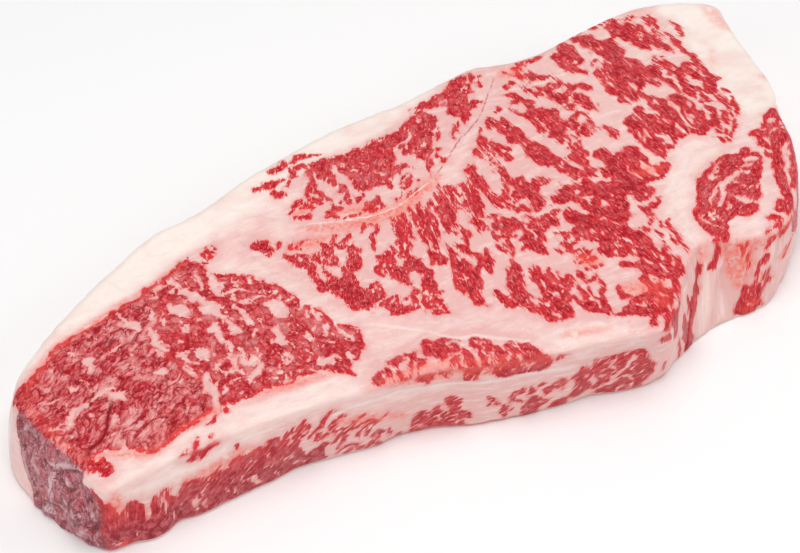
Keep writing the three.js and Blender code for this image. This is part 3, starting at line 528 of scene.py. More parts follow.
# Bars of lean: half width, then the points each runs through.
leanStrokes = [
    # islands left of the cap and under its end
    (1.2, -27, 44.3, -23.5, 44.3, -21, 45.6), (0.7, -22, 46, -18, 46.2, -14, 46, -10, 45.2),
    (0.9, -33.5, 39.7, -30, 40.1, -27.5, 39.2, -24.5, 39.6), (1.1, -29, 37.6, -28.5, 35, -26.3, 35.3),
    (0.9, -24.3, 36.5, -22.4, 38.3), (1.3, -20.6, 43.4, -20.4, 40.4), (0.9, -22, 40, -20, 39.6),
    (1.1, -18.4, 43.8, -16.5, 42.2, -15.2, 41.5), (1.0, -15.8, 41, -16.9, 38, -17, 35.8),
    (1.0, -17, 35, -18.5, 33, -20, 31.4), (0.7, -20.3, 31.5, -20.4, 28.5, -19, 26.9, -17.3, 28.2),
    (0.7, -18.3, 31.4, -17.3, 30, -16.8, 28.4), (0.7, -16.6, 28, -15.9, 26, -15.9, 23),
    (1.0, -27.8, 27, -26.5, 28.6, -24.5, 29.2, -22.8, 28.8, -22.6, 27.4),
    (0.8, -25.2, 26.9, -23, 26.6, -21.6, 25.8), (0.8, -27, 24.7, -25.8, 23.6, -23.8, 23.6, -22, 24.9),
    (1.1, -15.9, 25, -16.1, 22, -16.4, 20.8), (1.4, -19.6, 21.8, -18, 21, -16.6, 21.6),
    (1.1, -20, 20, -18, 19.4, -17.2, 18.8), (0.7, -15.3, 17.3, -12.5, 17, -9.8, 16.7),
    (1.1, -11.4, 32.5, -10.6, 30, -10.6, 27.3), (0.7, -13, 27.3, -11.8, 28, -11.5, 30),
    (1.2, -11.9, 26, -11.8, 23.6, -11.5, 22.2), (0.9, -12, 26, -10.2, 25.8),
    (0.9, -7.2, 25.2, -8, 23.3, -9.4, 21.4), (1.1, 11.8, 36, 14.2, 36.4), (1.3, 12.3, 33.3, 14.2, 34),
    (0.9, 24.3, 37.6, 23.8, 35, 22.9, 34), (1.0, 6.4, 27.6, 8, 30, 11.4, 28.2),
    (0.7, 20.6, 31, 22.6, 30.8), (0.4, 21, 30, 20.6, 27, 20.4, 25), (0.4, 18.4, 30, 17.6, 27.4, 16.4, 25),
    (0.6, 4.3, 21.6, 5.2, 20.3, 7.6, 23, 9.2, 24.6), (0.5, 6, 21, 8.4, 22.6),
    (0.5, 5.6, 23, 7, 25.2, 8.6, 25.4), (0.5, 5.8, 17.4, 8, 17.8, 9, 19.6), (0.5, 9.4, 21.6, 10.6, 21.8),
    (0.6, 2, 17.6, 3.4, 19.2), (0.5, 4.2, 16.6, 6.2, 18.6), (0.9, 41.3, 52.2, 42.6, 51),
    (1.1, 44.9, 55.8, 44.3, 53), (0.6, 46, 52.4, 45.8, 50.4), (0.6, 47, 54.6, 47.7, 52.4),
    (1.1, 31.3, 38, 30.2, 37), (0.6, 30.5, 37.3, 29, 35.3, 28, 33.2), (1.0, 44.2, 38, 45.6, 37.6),
    (0.5, 45.4, 39.5, 45.8, 37), (0.4, 36.7, 33.6, 35.6, 31.8),
    # eye, left of the middle
    (0.6, -38, 15.2, -36, 17.5), (0.6, -36, 13.3, -34, 14.5, -33, 15.8),
    (0.7, -34.5, 13, -32, 14, -28, 14), (0.5, -33, 13.2, -31.5, 12, -30.8, 13),
    (0.9, -28.8, 8.6, -28.9, 5.2, -27.6, 3.8), (1.5, -26.4, 10.5, -26, 7.5, -26.5, 5.4),
    (0.9, -26.4, 13, -25.6, 11.5, -24.3, 11.6), (1.3, -25, 11, -24.6, 8.5, -25, 6.3),
    (0.9, -28, 4, -25.6, 3.9, -24.6, 1.5), (0.5, -23, 12, -21.5, 12.8, -20.3, 12.5),
    (0.7, -22.3, 11, -22.5, 8.5, -20.8, 8, -19, 10, -17.3, 11.7),
    (0.9, -13.6, 3.3, -11.5, 7.2, -9.5, 9, -8, 11.2), (0.7, -13.3, 11.3, -11.5, 12.5),
    (0.5, -10, 12, -9.5, 10.5), (0.8, -11.3, 0.4, -13.5, -1.8, -15.3, -3.4, -16, -5.3),
    (0.7, -16, -5, -15.5, -7.5), (0.7, -14.8, -5.3, -13, -6), (1.0, -8.5, 1.7, -10, -2, -10.8, -5),
    (0.8, -10.8, 0.4, -12, -2.4, -12.6, -5), (0.9, -2.9, 2.2, -4.8, -1.5, -5.6, -4),
    (0.8, -5.6, 2.2, -6.8, -1, -7.4, -4.4), (0.9, -6, 0, -4.6, 5, -3.8, 8, -3.3, 11.4),
    (0.8, -4, 1, -2.6, 6, -1.8, 11), (0.9, -1.8, 1, -0.9, 6, -0.3, 12), (0.5, -4.8, -20, -3.5, -19.5),
    (0.7, -14, -18.8, -13.3, -17.8), (0.9, -11, -15.8, -11.8, -18.5, -11.7, -21),
    (0.6, -13.6, -21.3, -11.8, -20.8), (0.8, 1.8, 4, 0.6, -1, -0.2, -7),
    (0.7, 0.8, 0, 2, 5, 2.4, 10, 2.2, 14), (1.3, 2.9, -4, 3.6, 0, 4.3, 5, 4.8, 9, 5.6, 13),
    (0.9, 5, -1.6, 6, 3, 6.7, 7, 7.2, 12), (1.5, 9.3, -1.8, 9.8, 3, 10.6, 7),
    (0.9, 9.3, 14, 9.5, 10, 10.4, 7), (1.3, 12.4, 2, 13, 7, 13, 11, 12.5, 15),
    (0.8, 11.2, 0, 11.6, 5, 12, 9), (0.5, 14.6, 18, 14.3, 13), (0.9, 11.7, -1, 12.3, -3.5, 11.6, -6),
    (0.7, 12, -5, 11, -8, 10.2, -9.3), (1.1, 16.2, 16.7, 16.2, 12, 16.3, 5.5),
    (0.6, 17.6, 16, 18.1, 13, 18.6, 10), (1.1, 19, 10, 18.8, 4, 18, 0), (0.9, 17, 4, 16.8, 0, 16.2, -4.6),
    (0.8, 18.2, 2, 18, -2, 17.4, -4), (1.2, 20.4, 14.5, 20.7, 10, 20.6, 5, 20, 0.6),
    (0.8, 22.2, 14.7, 22.6, 10, 22, 6, 21.4, 2), (0.6, 24.2, 17, 24, 14, 24.5, 10.6),
    (1.2, 25.5, 18.7, 25.7, 13, 25.4, 8), (0.8, 27, 20.3, 27, 17, 26.4, 13),
    (0.9, 25.4, 9, 25.6, 5, 26.3, 0.8), (1.1, 18.4, -11, 18.6, -15), (0.3, 23.8, -10.2, 23.9, -10.8),
    # eye, right of the middle
    (0.6, 26.8, 8, 27.8, 4.4, 28.2, 2), (0.9, 31.4, 8.4, 29.6, 7, 29.2, 4.6, 30.4, 3.4),
    (0.8, 31, 7.6, 30.5, 4.6), (0.8, 27.6, 1.6, 29, 0.5, 28.6, -1), (0.6, 26, 2, 27.6, -1),
    (0.8, 30.6, 1.4, 32.4, 1.8), (0.9, 29.3, -2.4, 31, -1.6, 32, -1.4, 33, -3.8),
    (1.2, 35.5, -14.5, 36.8, -16.6, 36, -19), (1.2, 35.2, -19.8, 36.6, -21.4, 39, -20.4),
    (0.9, 34.6, -22.6, 37.6, -23.8), (0.4, 32.3, -20.3, 33, -22), (0.5, 33.4, -25.4, 34, -27.2),
    (0.8, 35.5, -26, 38, -26.4, 41, -25.6), (0.8, 35, -28.4, 38, -28.6, 40.6, -28),
    (0.8, 36, -31, 38.6, -30.8, 40, -31.6), (0.6, 37.4, -24.6, 39.6, -23.4), (1.2, 33.2, -30.6, 34, -33.2),
    (0.8, 33.2, -35.2, 35.6, -34.6, 37.4, -33.4), (0.7, 26.8, -36, 28, -34.5, 30, -34),
    (0.8, 30, -38, 30.2, -34, 30.6, -30), (0.7, 30, -37.6, 30.6, -40.6), (0.7, 32.8, -37.4, 32.2, -40.6),
    (0.7, 54.6, 53, 55, 50.6), (0.8, 55.6, 49.8, 58, 50.6, 60, 52.6), (0.5, 60, 54.6, 60.2, 50.2),
    (0.5, 61.5, 54, 62, 52), (1.0, 63.5, 54, 68.4, 53.4), (0.9, 51.5, 46, 53, 46.6, 55, 46.4),
    (0.5, 51.3, 44.2, 52.5, 46), (1.1, 56.6, 45, 57.8, 42.6, 57.8, 40.6),
    (0.6, 58.5, 40, 59, 38, 59.8, 37.2), (1.3, 51.9, 29.5, 52, 26.5, 52.5, 23),
    (1.0, 67, 22, 66.8, 19.5, 66.5, 16), (0.6, 66.4, 26, 67, 23.2), (0.3, 72.3, 27, 72.6, 26.5),
    (0.5, 70.6, 27, 71.2, 24.6), (0.5, 80.8, 44.6, 80.2, 42), (0.4, 82.2, 45, 82.7, 43),
    (0.8, 88, 58.8, 91.4, 58.2), (0.5, 84.5, 58, 88, 59), (0.6, 92, 59.6, 98, 59.2),
    (0.6, 99, 57.8, 100.5, 56.8, 102, 58), (0.4, 101.5, 56, 103.4, 57), (0.9, 105.3, 55.4, 105.3, 52.3),
    (0.7, 107.6, 56, 107.3, 52, 107.6, 50, 108.6, 47), (0.5, 105.3, 50.6, 105.4, 43.6),
    (1.1, 107.5, 46.6, 108.7, 44, 109.5, 41), (1.1, 108.7, 42, 108.7, 38, 109, 33),
    (0.7, 112.8, 50.4, 113, 46.5, 112.3, 43.2), (0.7, 98.2, 37.4, 98.4, 35, 99.7, 32.6, 100, 30),
    (0.7, 98.6, 37.6, 100.6, 35.6, 102, 32.4, 102.4, 29.6), (0.7, 100.9, 34, 100.8, 30),
    (0.8, 109.8, 15.4, 110.8, 13.6), (0.6, 106.6, 15, 106.3, 10, 106.8, 7),
    (0.8, 107.8, 15, 107.8, 10.6, 108.6, 7), (0.9, 110.4, 11.4, 109.5, 8, 107.6, 3.8),
    (1.3, 101.4, 10.6, 102.2, 8.2), (1.3, 101.4, 8, 101.2, 5, 100.3, 2),
    (0.9, 104.6, 8, 104.4, 5.4, 102.6, 2.6), (0.5, 106.3, 6.4, 106, 3.5, 104, 1.4),
    (0.6, 98.6, 1.4, 99.4, -0.6), (0.6, 101.4, 1, 100, -2, 98.6, -4), (0.5, 104.4, 1, 102, -2, 99.8, -4.4),
    (0.8, 96.6, -1.4, 97.8, -4), (0.9, 58, -35.6, 60, -34, 59.6, -33.6), (0.6, 57, -24.6, 59.6, -26),
    (0.5, 60.6, -27, 60.8, -30, 60, -32), (0.7, 63.2, -30.4, 63.4, -33.6), (0.4, 64.8, -25, 65, -29),
    (0.4, 65.2, -29.6, 64.8, -34, 65, -38), (0.6, 60.6, -23.6, 61.6, -22.4, 63, -22.6),
    (0.5, 63, -23, 63.4, -25.4, 64.6, -23),
    # streaks at the coarse muscle's front edge
    (0.5, -100, -36, -97, -37.6), (0.4, -88, -34.5, -82, -33), (0.3, -80.5, -35, -78, -33.4),
    (0.4, -76.5, -33, -74.5, -31.4), (0.6, -87, -40.3, -85.7, -38, -85.3, -36.4),
    (0.7, -82.4, -39.6, -81, -39.3), (0.4, -91, -41.4, -87, -40),
    (0.6, -41.4, -34.6, -39.4, -35.6, -38.8, -37),
    # and behind its back edge
    (0.5, -58.3, 21, -57, 23.3, -55.5, 24.6), (0.4, -58, 21.3, -56.7, 21),
    (0.6, -55.3, 24.6, -55.2, 22, -54.5, 21.3), (0.9, -54.8, 22.2, -53, 22.8),
    (0.6, -53.2, 21.6, -52.3, 23.5, -52.8, 25), (0.5, -59, 19.8, -57.2, 19.3),
    (0.4, -61, 23.6, -60.6, 22.2), (1.3, 92.4, -37.6, 94.4, -38), (0.7, 66, -24, 65, -36),
    (0.8, -9, 24, -8, 21), (1.2, 77.8, -35, 76.8, -37, 76.4, -39), (0.8, 75, -38.4, 73, -41, 72, -43),
    (0.6, 74.2, -35.6, 73, -37.6, 72, -38.8), (1.0, 83.4, -41.2, 81.2, -42.6),
    (0.5, 88.6, -41.4, 91.6, -40.4, 94.4, -39.8), (0.6, -14.6, -44.8, -13.2, -43.6, -12.6, -42.8),
    (0.6, -12.8, -47.4, -12.2, -45, -11.8, -43), (0.6, 0.6, -51.4, 1.4, -50.6, 2.2, -51.4),
]

# White islands and channels: half width, then the points each runs through.
fatStrokes = [
    # coarse muscle, left half
    (1.7, -102.6, -0.6, -99.6, -0.8), (1.0, -101.2, -1, -101, -5), (0.5, -104.8, 4.8, -103.6, 4),
    (0.7, -111.3, 1.7, -111, -0.2), (0.8, -86.9, 12.6, -86.7, 10.6), (1.8, -87.2, 6.2, -85, 6, -84.4, 4.6),
    (0.9, -86.8, 10, -86.6, 7.6), (0.6, -94.6, -0.4, -91, 0, -89.8, 2.2), (0.6, -92.9, 10.3, -92.5, 8.8),
    (0.5, -93.2, 5.8, -92.2, 5.2), (0.4, -98, 9.5, -97, 8.7), (0.4, -96, 8, -95.8, 6.8),
    (0.6, -90, -2.7, -89, -4.4), (1.1, -109.4, -7.6, -107.6, -8.6),
    (0.5, -105.2, -6.6, -104, -9, -103, -11), (0.6, -117.6, -9.2, -115, -9.4, -113, -9.9),
    (1.2, -115.4, -20.6, -113.5, -18, -111.5, -16, -109, -15.3, -105.6, -14.2),
    (0.6, -118.8, -18.6, -115.5, -19.2), (1.1, -104.4, -13.4, -101, -12.9, -98, -12.4),
    (1.5, -99.4, -13.8, -98, -15.5, -97, -17.6), (0.5, -98.2, -11.8, -96.8, -10.4),
    (0.5, -107, -17.8, -106.8, -20), (0.7, -101.5, -19.4, -102.3, -22, -102, -24.8),
    (0.5, -103.6, -21.2, -101, -22.4), (0.7, -104.6, -27.6, -103.7, -26.7),
    (0.7, -92.6, -23.6, -90.8, -24.6), (0.9, -93, -28.2, -91.4, -28.9), (0.6, -96.9, -31.8, -96.5, -33.6),
    (0.5, -90.3, -17.4, -89.7, -18.2), (0.5, -87, -17.2, -86.8, -18.2), (1.7, -86.2, -12.2, -83.8, -13.2),
    (0.8, -83, -4.6, -82.3, -8.2), (0.6, -81.3, -16.3, -82, -19.2), (0.5, -82, -22.3, -81, -24),
    (1.3, -81.6, 3.4, -81.6, -2.6, -81.2, -6), (0.5, -115, -24, -113, -22), (0.5, -118, -23, -116.6, -26),
    (0.8, -103.6, -31.6, -105.4, -34), (0.6, -99.6, -33.6, -98.8, -35.6),
    (0.5, -95.6, -20.6, -94.6, -21.6),
    # coarse muscle, right half
    (2.3, -73, 8.2, -71.4, 6, -71.4, 4.6), (0.9, -79, 11, -79.2, 8, -80.2, 5),
    (0.7, -76.4, 14.2, -75.2, 13.4), (0.5, -70.9, 13.9, -70.1, 13.1),
    (0.8, -74.4, 16, -72.5, 17.2, -70.2, 16.7), (0.9, -68.6, 19, -68.3, 14.2),
    (1.7, -67, 12.8, -66.2, 8.4, -64.6, 6.8), (2.5, -64.2, 5.8, -63.4, 1.4, -62.8, -1.2),
    (1.1, -62.2, -2.6, -61.2, -6, -60.8, -8.8), (1.2, -65.4, -3, -65.3, -9, -65, -13.6),
    (0.6, -65.4, -14, -66, -18, -66, -23), (0.6, -63.2, 9, -62.2, 13, -61.6, 17),
    (1.2, -58.3, 16, -58.3, 9.4, -58.8, 6), (0.8, -57.2, 5.9, -53.6, 6, -51.8, 4),
    (0.5, -53.8, 9.6, -53.2, 6.6), (0.9, -72.3, 0.2, -72.3, -2.5), (0.7, -75, -4.6, -76.6, -5.4),
    (0.6, -67.7, 1, -66.4, -0.6), (0.6, -66.6, -4.1, -66.3, -4.9),
    (2.0, -72.6, -9.6, -72, -12, -72.4, -14), (0.8, -78, -8.4, -77, -10.5, -76.8, -13, -75.2, -14.6),
    (0.9, -78.2, -15.2, -77.3, -18.8), (1.5, -75.4, -19.6, -76.4, -23.5, -75.4, -27, -77.2, -31),
    (0.5, -70.8, -17.2, -70.3, -19.2), (1.2, -63.8, -16.6, -63, -20, -61, -21.4),
    (1.6, -63.8, -26.2, -61.6, -24, -59.8, -22.6), (0.9, -72.7, -27.4, -71.4, -26.2),
    (0.5, -68.8, -27.8, -68.2, -29.2), (0.5, -69.2, -20.9, -66.2, -22),
    (1.0, -57.6, -2.6, -56, -4.5, -56.4, -7), (0.6, -59.5, -19.2, -58, -16.4),
    (0.6, -57.3, -11.7, -56.8, -9.8), (1.4, -51.2, -11.6, -51.4, -15, -50.4, -17.6),
    (2.6, -48.4, -3, -46.8, -4, -47.4, -8), (0.7, -41.4, -9.2, -41, -11.6),
    (0.9, -38.6, -11.3, -38, -14.3), (0.7, -43.3, -16.3, -43.3, -20.8), (0.6, -39.2, -17.3, -39, -20.5),
    (0.7, -35.9, -17.3, -35.7, -20.5, -34.5, -22.5, -33.8, -24.7), (0.5, -42.8, -22.6, -42.5, -24),
    (0.4, -39.3, -22.8, -39, -24.2), (0.8, -41, -27.8, -40.3, -29.5), (1.2, -44.8, -27.6, -42.2, -29.6),
    (0.6, -52.5, -21.3, -52, -23.5), (0.7, -53.3, -24, -55.2, -25), (0.8, -56.6, -25.8, -55.3, -28),
    (0.5, -57, -30.2, -54.8, -30.9), (0.5, -52.2, -28.2, -51, -28.6), (0.5, -47.4, -22.3, -46.8, -23.2),
    (0.9, -37.4, -28.2, -36.8, -31), (0.7, -56.3, 4.6, -56.3, 2.8), (0.5, -57, 1.4, -57, -1),
    (0.4, -54.6, 2, -52.5, 0.4), (0.3, -51.6, 1, -49.4, 0.8), (0.3, -47.6, 2.6, -46.4, 0.8),
    (0.6, -49.6, 9.2, -49.2, 6.8), (0.5, -44.8, -1.6, -43.4, -2.4), (0.5, -46.8, 0, -44.4, 0.4),
    (0.6, -43.6, -4, -42.6, -3.2), (0.5, -48.6, -25.8, -47, -25), (0.4, -59, -27.6, -58, -29),
    (0.4, -62.6, -14.8, -61.8, -17),
    # cap
    (0.3, 6.5, 41.4, 9, 41.3), (0.4, 0.6, 40.6, 1.6, 39.6), (0.3, 16.8, 42, 17.4, 39.6),
    (0.4, -6.4, 37.8, -5.8, 36.4), (0.5, -6, 34.2, -4.8, 33.4), (0.3, -13, 34.6, -12.4, 34),
    (0.3, 20.6, 45.4, 22.6, 44.2), (0.3, -1.8, 36, 0, 34.6), (0.3, 2.8, 33.6, 4.4, 30.4),
    (0.3, 0.4, 31, 2, 28), (0.3, 34.6, 51, 36.8, 50), (0.3, 17.4, 35.6, 18.6, 33),
    (0.3, -6, 19.6, -4.6, 18), (0.4, 2.4, 25.4, 3.2, 26.8),
    # eye
    (0.5, -34.4, 9.4, -33.4, 8.4), (0.4, -18.6, -17.6, -16.8, -17.3), (0.5, -8.8, -17.4, -8.5, -18.7),
    (0.9, -7.7, -19.5, -7.2, -19.9), (0.3, -7, -22.6, -6.8, -26), (0.3, -8.2, -21.6, -8, -24),
    (0.4, -20, -11, -19.4, -12.6), (0.6, 2.6, -17, 3.8, -19.4), (0.4, 4.8, -17.4, 5.5, -18.7),
    (0.4, 3.6, -27.4, 4.2, -25.4), (0.9, 23.6, -1.6, 23.2, -3.6), (0.4, 20.8, -6, 20.4, -7.8),
    (0.7, 23.4, -34.2, 23.6, -36.7), (0.6, 19.3, -41.2, 19.5, -43.7), (0.4, 11.3, -29.4, 11.3, -31.2),
    (0.4, 16.3, -29.8, 17, -31.6), (0.3, 22, -31, 22.5, -28.8), (0.3, 22.2, -33.6, 22.4, -30.6),
    (0.4, 26.3, -30, 26, -35), (0.3, 18.8, -38, 19.6, -35.4), (0.3, 31.5, 25, 31.8, 20, 32.5, 14),
    (0.3, 33.5, 25.6, 33.4, 20, 33.4, 15), (0.6, 36.8, 7.6, 36.3, 5.8), (0.6, 42.2, 31.8, 43.1, 31.6),
    (0.6, 44.4, 22.8, 45, 20.3), (0.5, 46.2, 17.3, 47.6, 18.6), (0.4, 43.8, 26.3, 43, 27.5),
    (0.4, 50, 9.7, 49.8, 6.8), (0.5, 56, 29.2, 56.4, 28), (0.5, 57.5, 25.2, 58, 23.8),
    (0.5, 56.8, 8.6, 56.8, 6), (1.2, 64, 37.4, 65.6, 36.8, 65.8, 35.8), (1.0, 67, 38.8, 67.8, 36.6),
    (0.5, 63.8, 40, 65, 39.4), (0.5, 66.6, 34.6, 67.2, 33.6), (0.5, 74, 49.6, 75.6, 48.4),
    (0.6, 75.4, 46.6, 77.2, 47.7), (0.4, 73.4, 47.7, 74.4, 46.3), (0.5, 80, 38.5, 80.5, 34, 81, 30.6),
    (0.4, 82, 38, 82.6, 34), (0.4, 85.4, 48.8, 87.2, 48.1), (1.0, 85.6, 30.6, 86.8, 28.4, 86.2, 26),
    (0.4, 84.2, 29.6, 84.6, 27.2), (0.4, 82, 26.6, 82.3, 23), (0.4, 87, 34.6, 88.2, 33),
    (0.3, 91.6, 31.4, 93, 28), (0.4, 98.9, 49.4, 99.8, 45.6), (0.4, 100.5, 50.4, 101.1, 47.6),
    (0.5, 94.8, 59.2, 94, 57.3), (0.5, 98.6, 58, 98, 56), (0.6, 108.4, 27, 108.2, 22.6),
    (0.4, 106, 30, 107, 27.4), (0.7, 102.8, 27.4, 104, 24, 104.8, 19), (0.4, 84.4, 44, 84.8, 41),
    (0.4, 90.6, 39.6, 91.4, 37), (0.8, 79.3, 10.6, 79, 7.2), (0.8, 77, 9.2, 76.5, 6),
    (1.2, 81.8, 7.4, 82.6, 4.3, 83.5, 2.6), (0.6, 85.3, 13.2, 85.6, 10.6), (0.4, 80.3, 17, 81, 14.8),
    (1.0, 92.6, 17.6, 92.8, 13, 92.7, 8.6, 92.4, 5.4), (0.7, 97.2, 15.5, 96.8, 13.3),
    (0.3, 94.7, 12, 94.7, 7), (0.4, 88.8, 7.6, 89, 4), (0.4, 88.2, 20.6, 89.2, 18.6),
    (0.3, 87.6, 12, 87.8, 9), (1.3, 71.6, -1.4, 72, -4.5, 72.3, -7.4), (0.5, 68.6, 1.6, 69, 0.6),
    (0.4, 66, 0.6, 67.4, -3, 67.8, -6.4), (0.6, 64.2, -12.8, 66.4, -12.2), (0.5, 61.6, -11.6, 60.6, -14),
    (0.5, 58.4, -9.8, 57, -10.2), (1.0, 48.6, -3, 48, -4.6), (0.8, 50, -9, 48.4, -7, 51.4, -7.2),
    (1.3, 53, -10.4, 54.6, -12.4), (0.6, 48.8, -15.6, 50.4, -17.6, 52.4, -18.4),
    (0.5, 54.4, -2.4, 54.8, -3.4), (0.6, 60.6, -2, 59.4, -3), (0.5, 45.6, -20.4, 47, -21.6),
    (0.5, 50, -23, 51.6, -25.4, 53, -27.6), (0.6, 48.4, -26.4, 49.4, -28), (0.7, 52.4, -28.6, 52.8, -30),
    (0.4, 44, -20, 44.6, -18), (0.6, 46.2, -27.6, 45.6, -29.4), (0.5, 55.4, -36, 54.6, -32.6),
    (0.8, 51, -30.6, 50.6, -32.4), (2.0, 52.6, -45, 53.2, -47.2), (1.0, 50.6, -41.4, 51, -44),
    (0.5, 44, -49.6, 41.6, -49), (0.6, 49.4, -47.8, 49.6, -51), (0.6, 46.8, -50.4, 46.4, -53),
    (0.5, 56, -38.8, 55.6, -42), (0.4, 52, -34.6, 53, -38), (0.4, 59, -38, 58.6, -41),
    (0.4, 32.4, -10, 33, -8.6),
    # small round muscle
    (1.2, 96, -16.8, 93, -17.6, 90, -18.4, 88, -20, 86, -22.6, 84, -24.6, 82.4, -26.4),
    (0.8, 85.8, -19.8, 83, -21.2, 81.2, -23.4, 80, -26), (0.9, 78, -26.8, 78.6, -30),
    (1.4, 85.4, -16.2, 87, -16.8), (0.5, 83.8, -16, 87, -14.8, 90, -13.4, 92.4, -11.6),
    (0.5, 87.8, -13.4, 90.6, -11.8), (1.4, 98.6, -14.2, 102.2, -14.8),
    (0.7, 94.6, -14.6, 98, -16, 101, -16.4), (0.9, 94.8, -17.6, 97, -18.6, 98.6, -19.2),
    (0.6, 90, -20.4, 91.4, -18.6), (0.5, 91.6, -21.4, 90.2, -22.4), (0.7, 92.5, -22.6, 92.8, -23.8),
    (1.1, 87.8, -25.2, 89.2, -27.4, 90.2, -29.2, 92.2, -30.2), (0.5, 90.4, -25.4, 93, -24.5, 95.4, -24.8),
    (0.6, 95, -26, 96.8, -24), (0.6, 85.2, -27, 82.8, -28.2), (0.5, 80.4, -27, 80, -29, 79.6, -31.8),
    (0.5, 76.2, -31, 78.4, -33.6), (0.4, 75.6, -27, 76.2, -30),
    # rim muscle
    (1.0, 117, -12.2, 114, -12.8, 112.2, -14, 111, -16.8, 110.4, -20, 107.6, -21.8, 105.8, -24.2, 105,
     -27.4, 104.4, -31),
    (0.9, 108.6, -7.4, 109.8, -9.6, 109.4, -11), (0.6, 110.2, -5.2, 112.2, -4.6),
    (1.0, 113.6, -2.4, 116, -3.2), (0.6, 112.4, -6.8, 115.6, -6, 118, -7.2),
    (0.9, 107.4, -12, 108.4, -14.4), (0.7, 117, -4.6, 119.6, -6.2), (0.5, 106, -10.6, 107.2, -12),
    # front muscle
    (1.1, -26.8, -39.6, -25.2, -41.2), (0.6, -11.9, -37.7, -10.1, -37.8), (0.6, -11.7, -39, -11.2, -40.2),
    (0.4, -4.5, -41, -4.7, -44, -4.4, -47.4), (0.6, -3.8, -41.6, -3, -42.4), (0.4, -1.9, -46, -1.6, -50),
    (0.4, -3, -45.4, -3, -48.4), (0.3, -16, -36.8, -15.8, -35.4),
]

deepLean = 6.0  # the deepest level that lean reaches
softEdge = 2.0  # how far inside a muscle its wrinkles begin
wander = {"size": 2.4, "reach": 0.4}  # every drawn edge wanders a little, in mm

# The eye's grain: tilt of the flecks, in mm along x for each mm of y, at places along the steak.
eyeTilt = {
    "x": [-30, -18, -4, 5, 20, 36, 46, 60, 80, 95, 106],
    "tilt": [0.42, 0.4, 0.3, 0.1, 0.02, -0.08, -0.2, -0.2, -0.06, -0.14, -0.34],
    "tries": 12,
    "step": 0.7,  # share of the error taken off at each try
    "roundEnd": -4,  # left of this x the flecks are rounder
    "roundness": 1.9,
}


# Coordinates of the flecks in the eye: lines that run across the steak, tilted by an angle that changes
# along it. The line through a point is found by repeated tries.
def eyeGrain(x, y):
    line = x.copy()
    for _ in range(eyeTilt["tries"]):
        line = mix(line, x - y * np.interp(line, eyeTilt["x"], eyeTilt["tilt"]), eyeTilt["step"])
    return line, np.where(x < eyeTilt["roundEnd"], eyeTilt["roundness"] * y, y)


# Coordinates across and along the grain of a muscle on the cut face.
def cutGrain(muscle, x, y):
    if "tilt" not in muscle:
        return eyeGrain(x, y)
    angle = math.radians(muscle["tilt"])
    return x * math.cos(angle) - y * math.sin(angle), x * math.sin(angle) + y * math.cos(angle)


# Coordinates across and along the grain of a part of the wall.
def wallGrain(part, around, z):
    return around - z * part["slant"], z


# The fields of a face at points of its own two coordinates. Each point takes its settings from the muscle
# it lies deepest in. Its level is how far inside lean it is, in mm: the lesser of its depth in the muscle
# and the ground, raised by areas and bars of lean and cut by bars of fat.
def leanFields(points, muscleList, grainOf, seeds, areas, leanBars, fatBars):
    flat = np.column_stack([points, np.zeros(len(points))]) / wander["size"]
    wandered = points + np.column_stack([wander["reach"] * noise(flat, seed) for seed in seeds])
    deepest = np.full(len(points), -veryFar)
    names = ("across", "along", "ground", "marbling", "wrinkled", "depth", "gaps", "dull", "fade")
    fields = {name: np.zeros(len(points)) for name in names}
    for muscle in muscleList:
        inside = insideDistance(wandered, muscle["outline"])
        across, along = grainOf(muscle, *points.T)
        own = {
            "depth": deepLean, "gaps": 0.0, "dull": 0.0, "fade": 0.0, **muscle,
            "across": across / muscle["across"],
            "along": along / muscle["along"],
            "wrinkled": muscle["wrinkled"] * smoothStep(0.0, softEdge, inside),
        }
        for name in names:
            fields[name] = np.where(inside > deepest, own[name], fields[name])
        deepest = np.maximum(deepest, inside)
    level = np.minimum(deepest, fields["ground"])
    for area in areas:
        level = np.maximum(level, insideDistance(wandered, area, reach=farAway))
    level = np.minimum(np.maximum(level, strokeDistance(wandered, leanBars)), fields["depth"])
    fields["level"] = np.minimum(level, -strokeDistance(wandered, fatBars) - fields["gaps"])
    return fields


# The dried end face, in length round the outline and height.
agedOutline = [
    (4.5, 31), (4.6, 24), (6, 20), (8, 17), (9.5, 13.5), (11, 11), (13, 8), (15, 5), (16.2, 0), (16.4, -4),
    (41.5, -4), (41.4, 3), (40.4, 10), (40.6, 19.6), (38.4, 23), (35.4, 21.4), (31, 21), (30.4, 25.6),
    (27, 31),
]

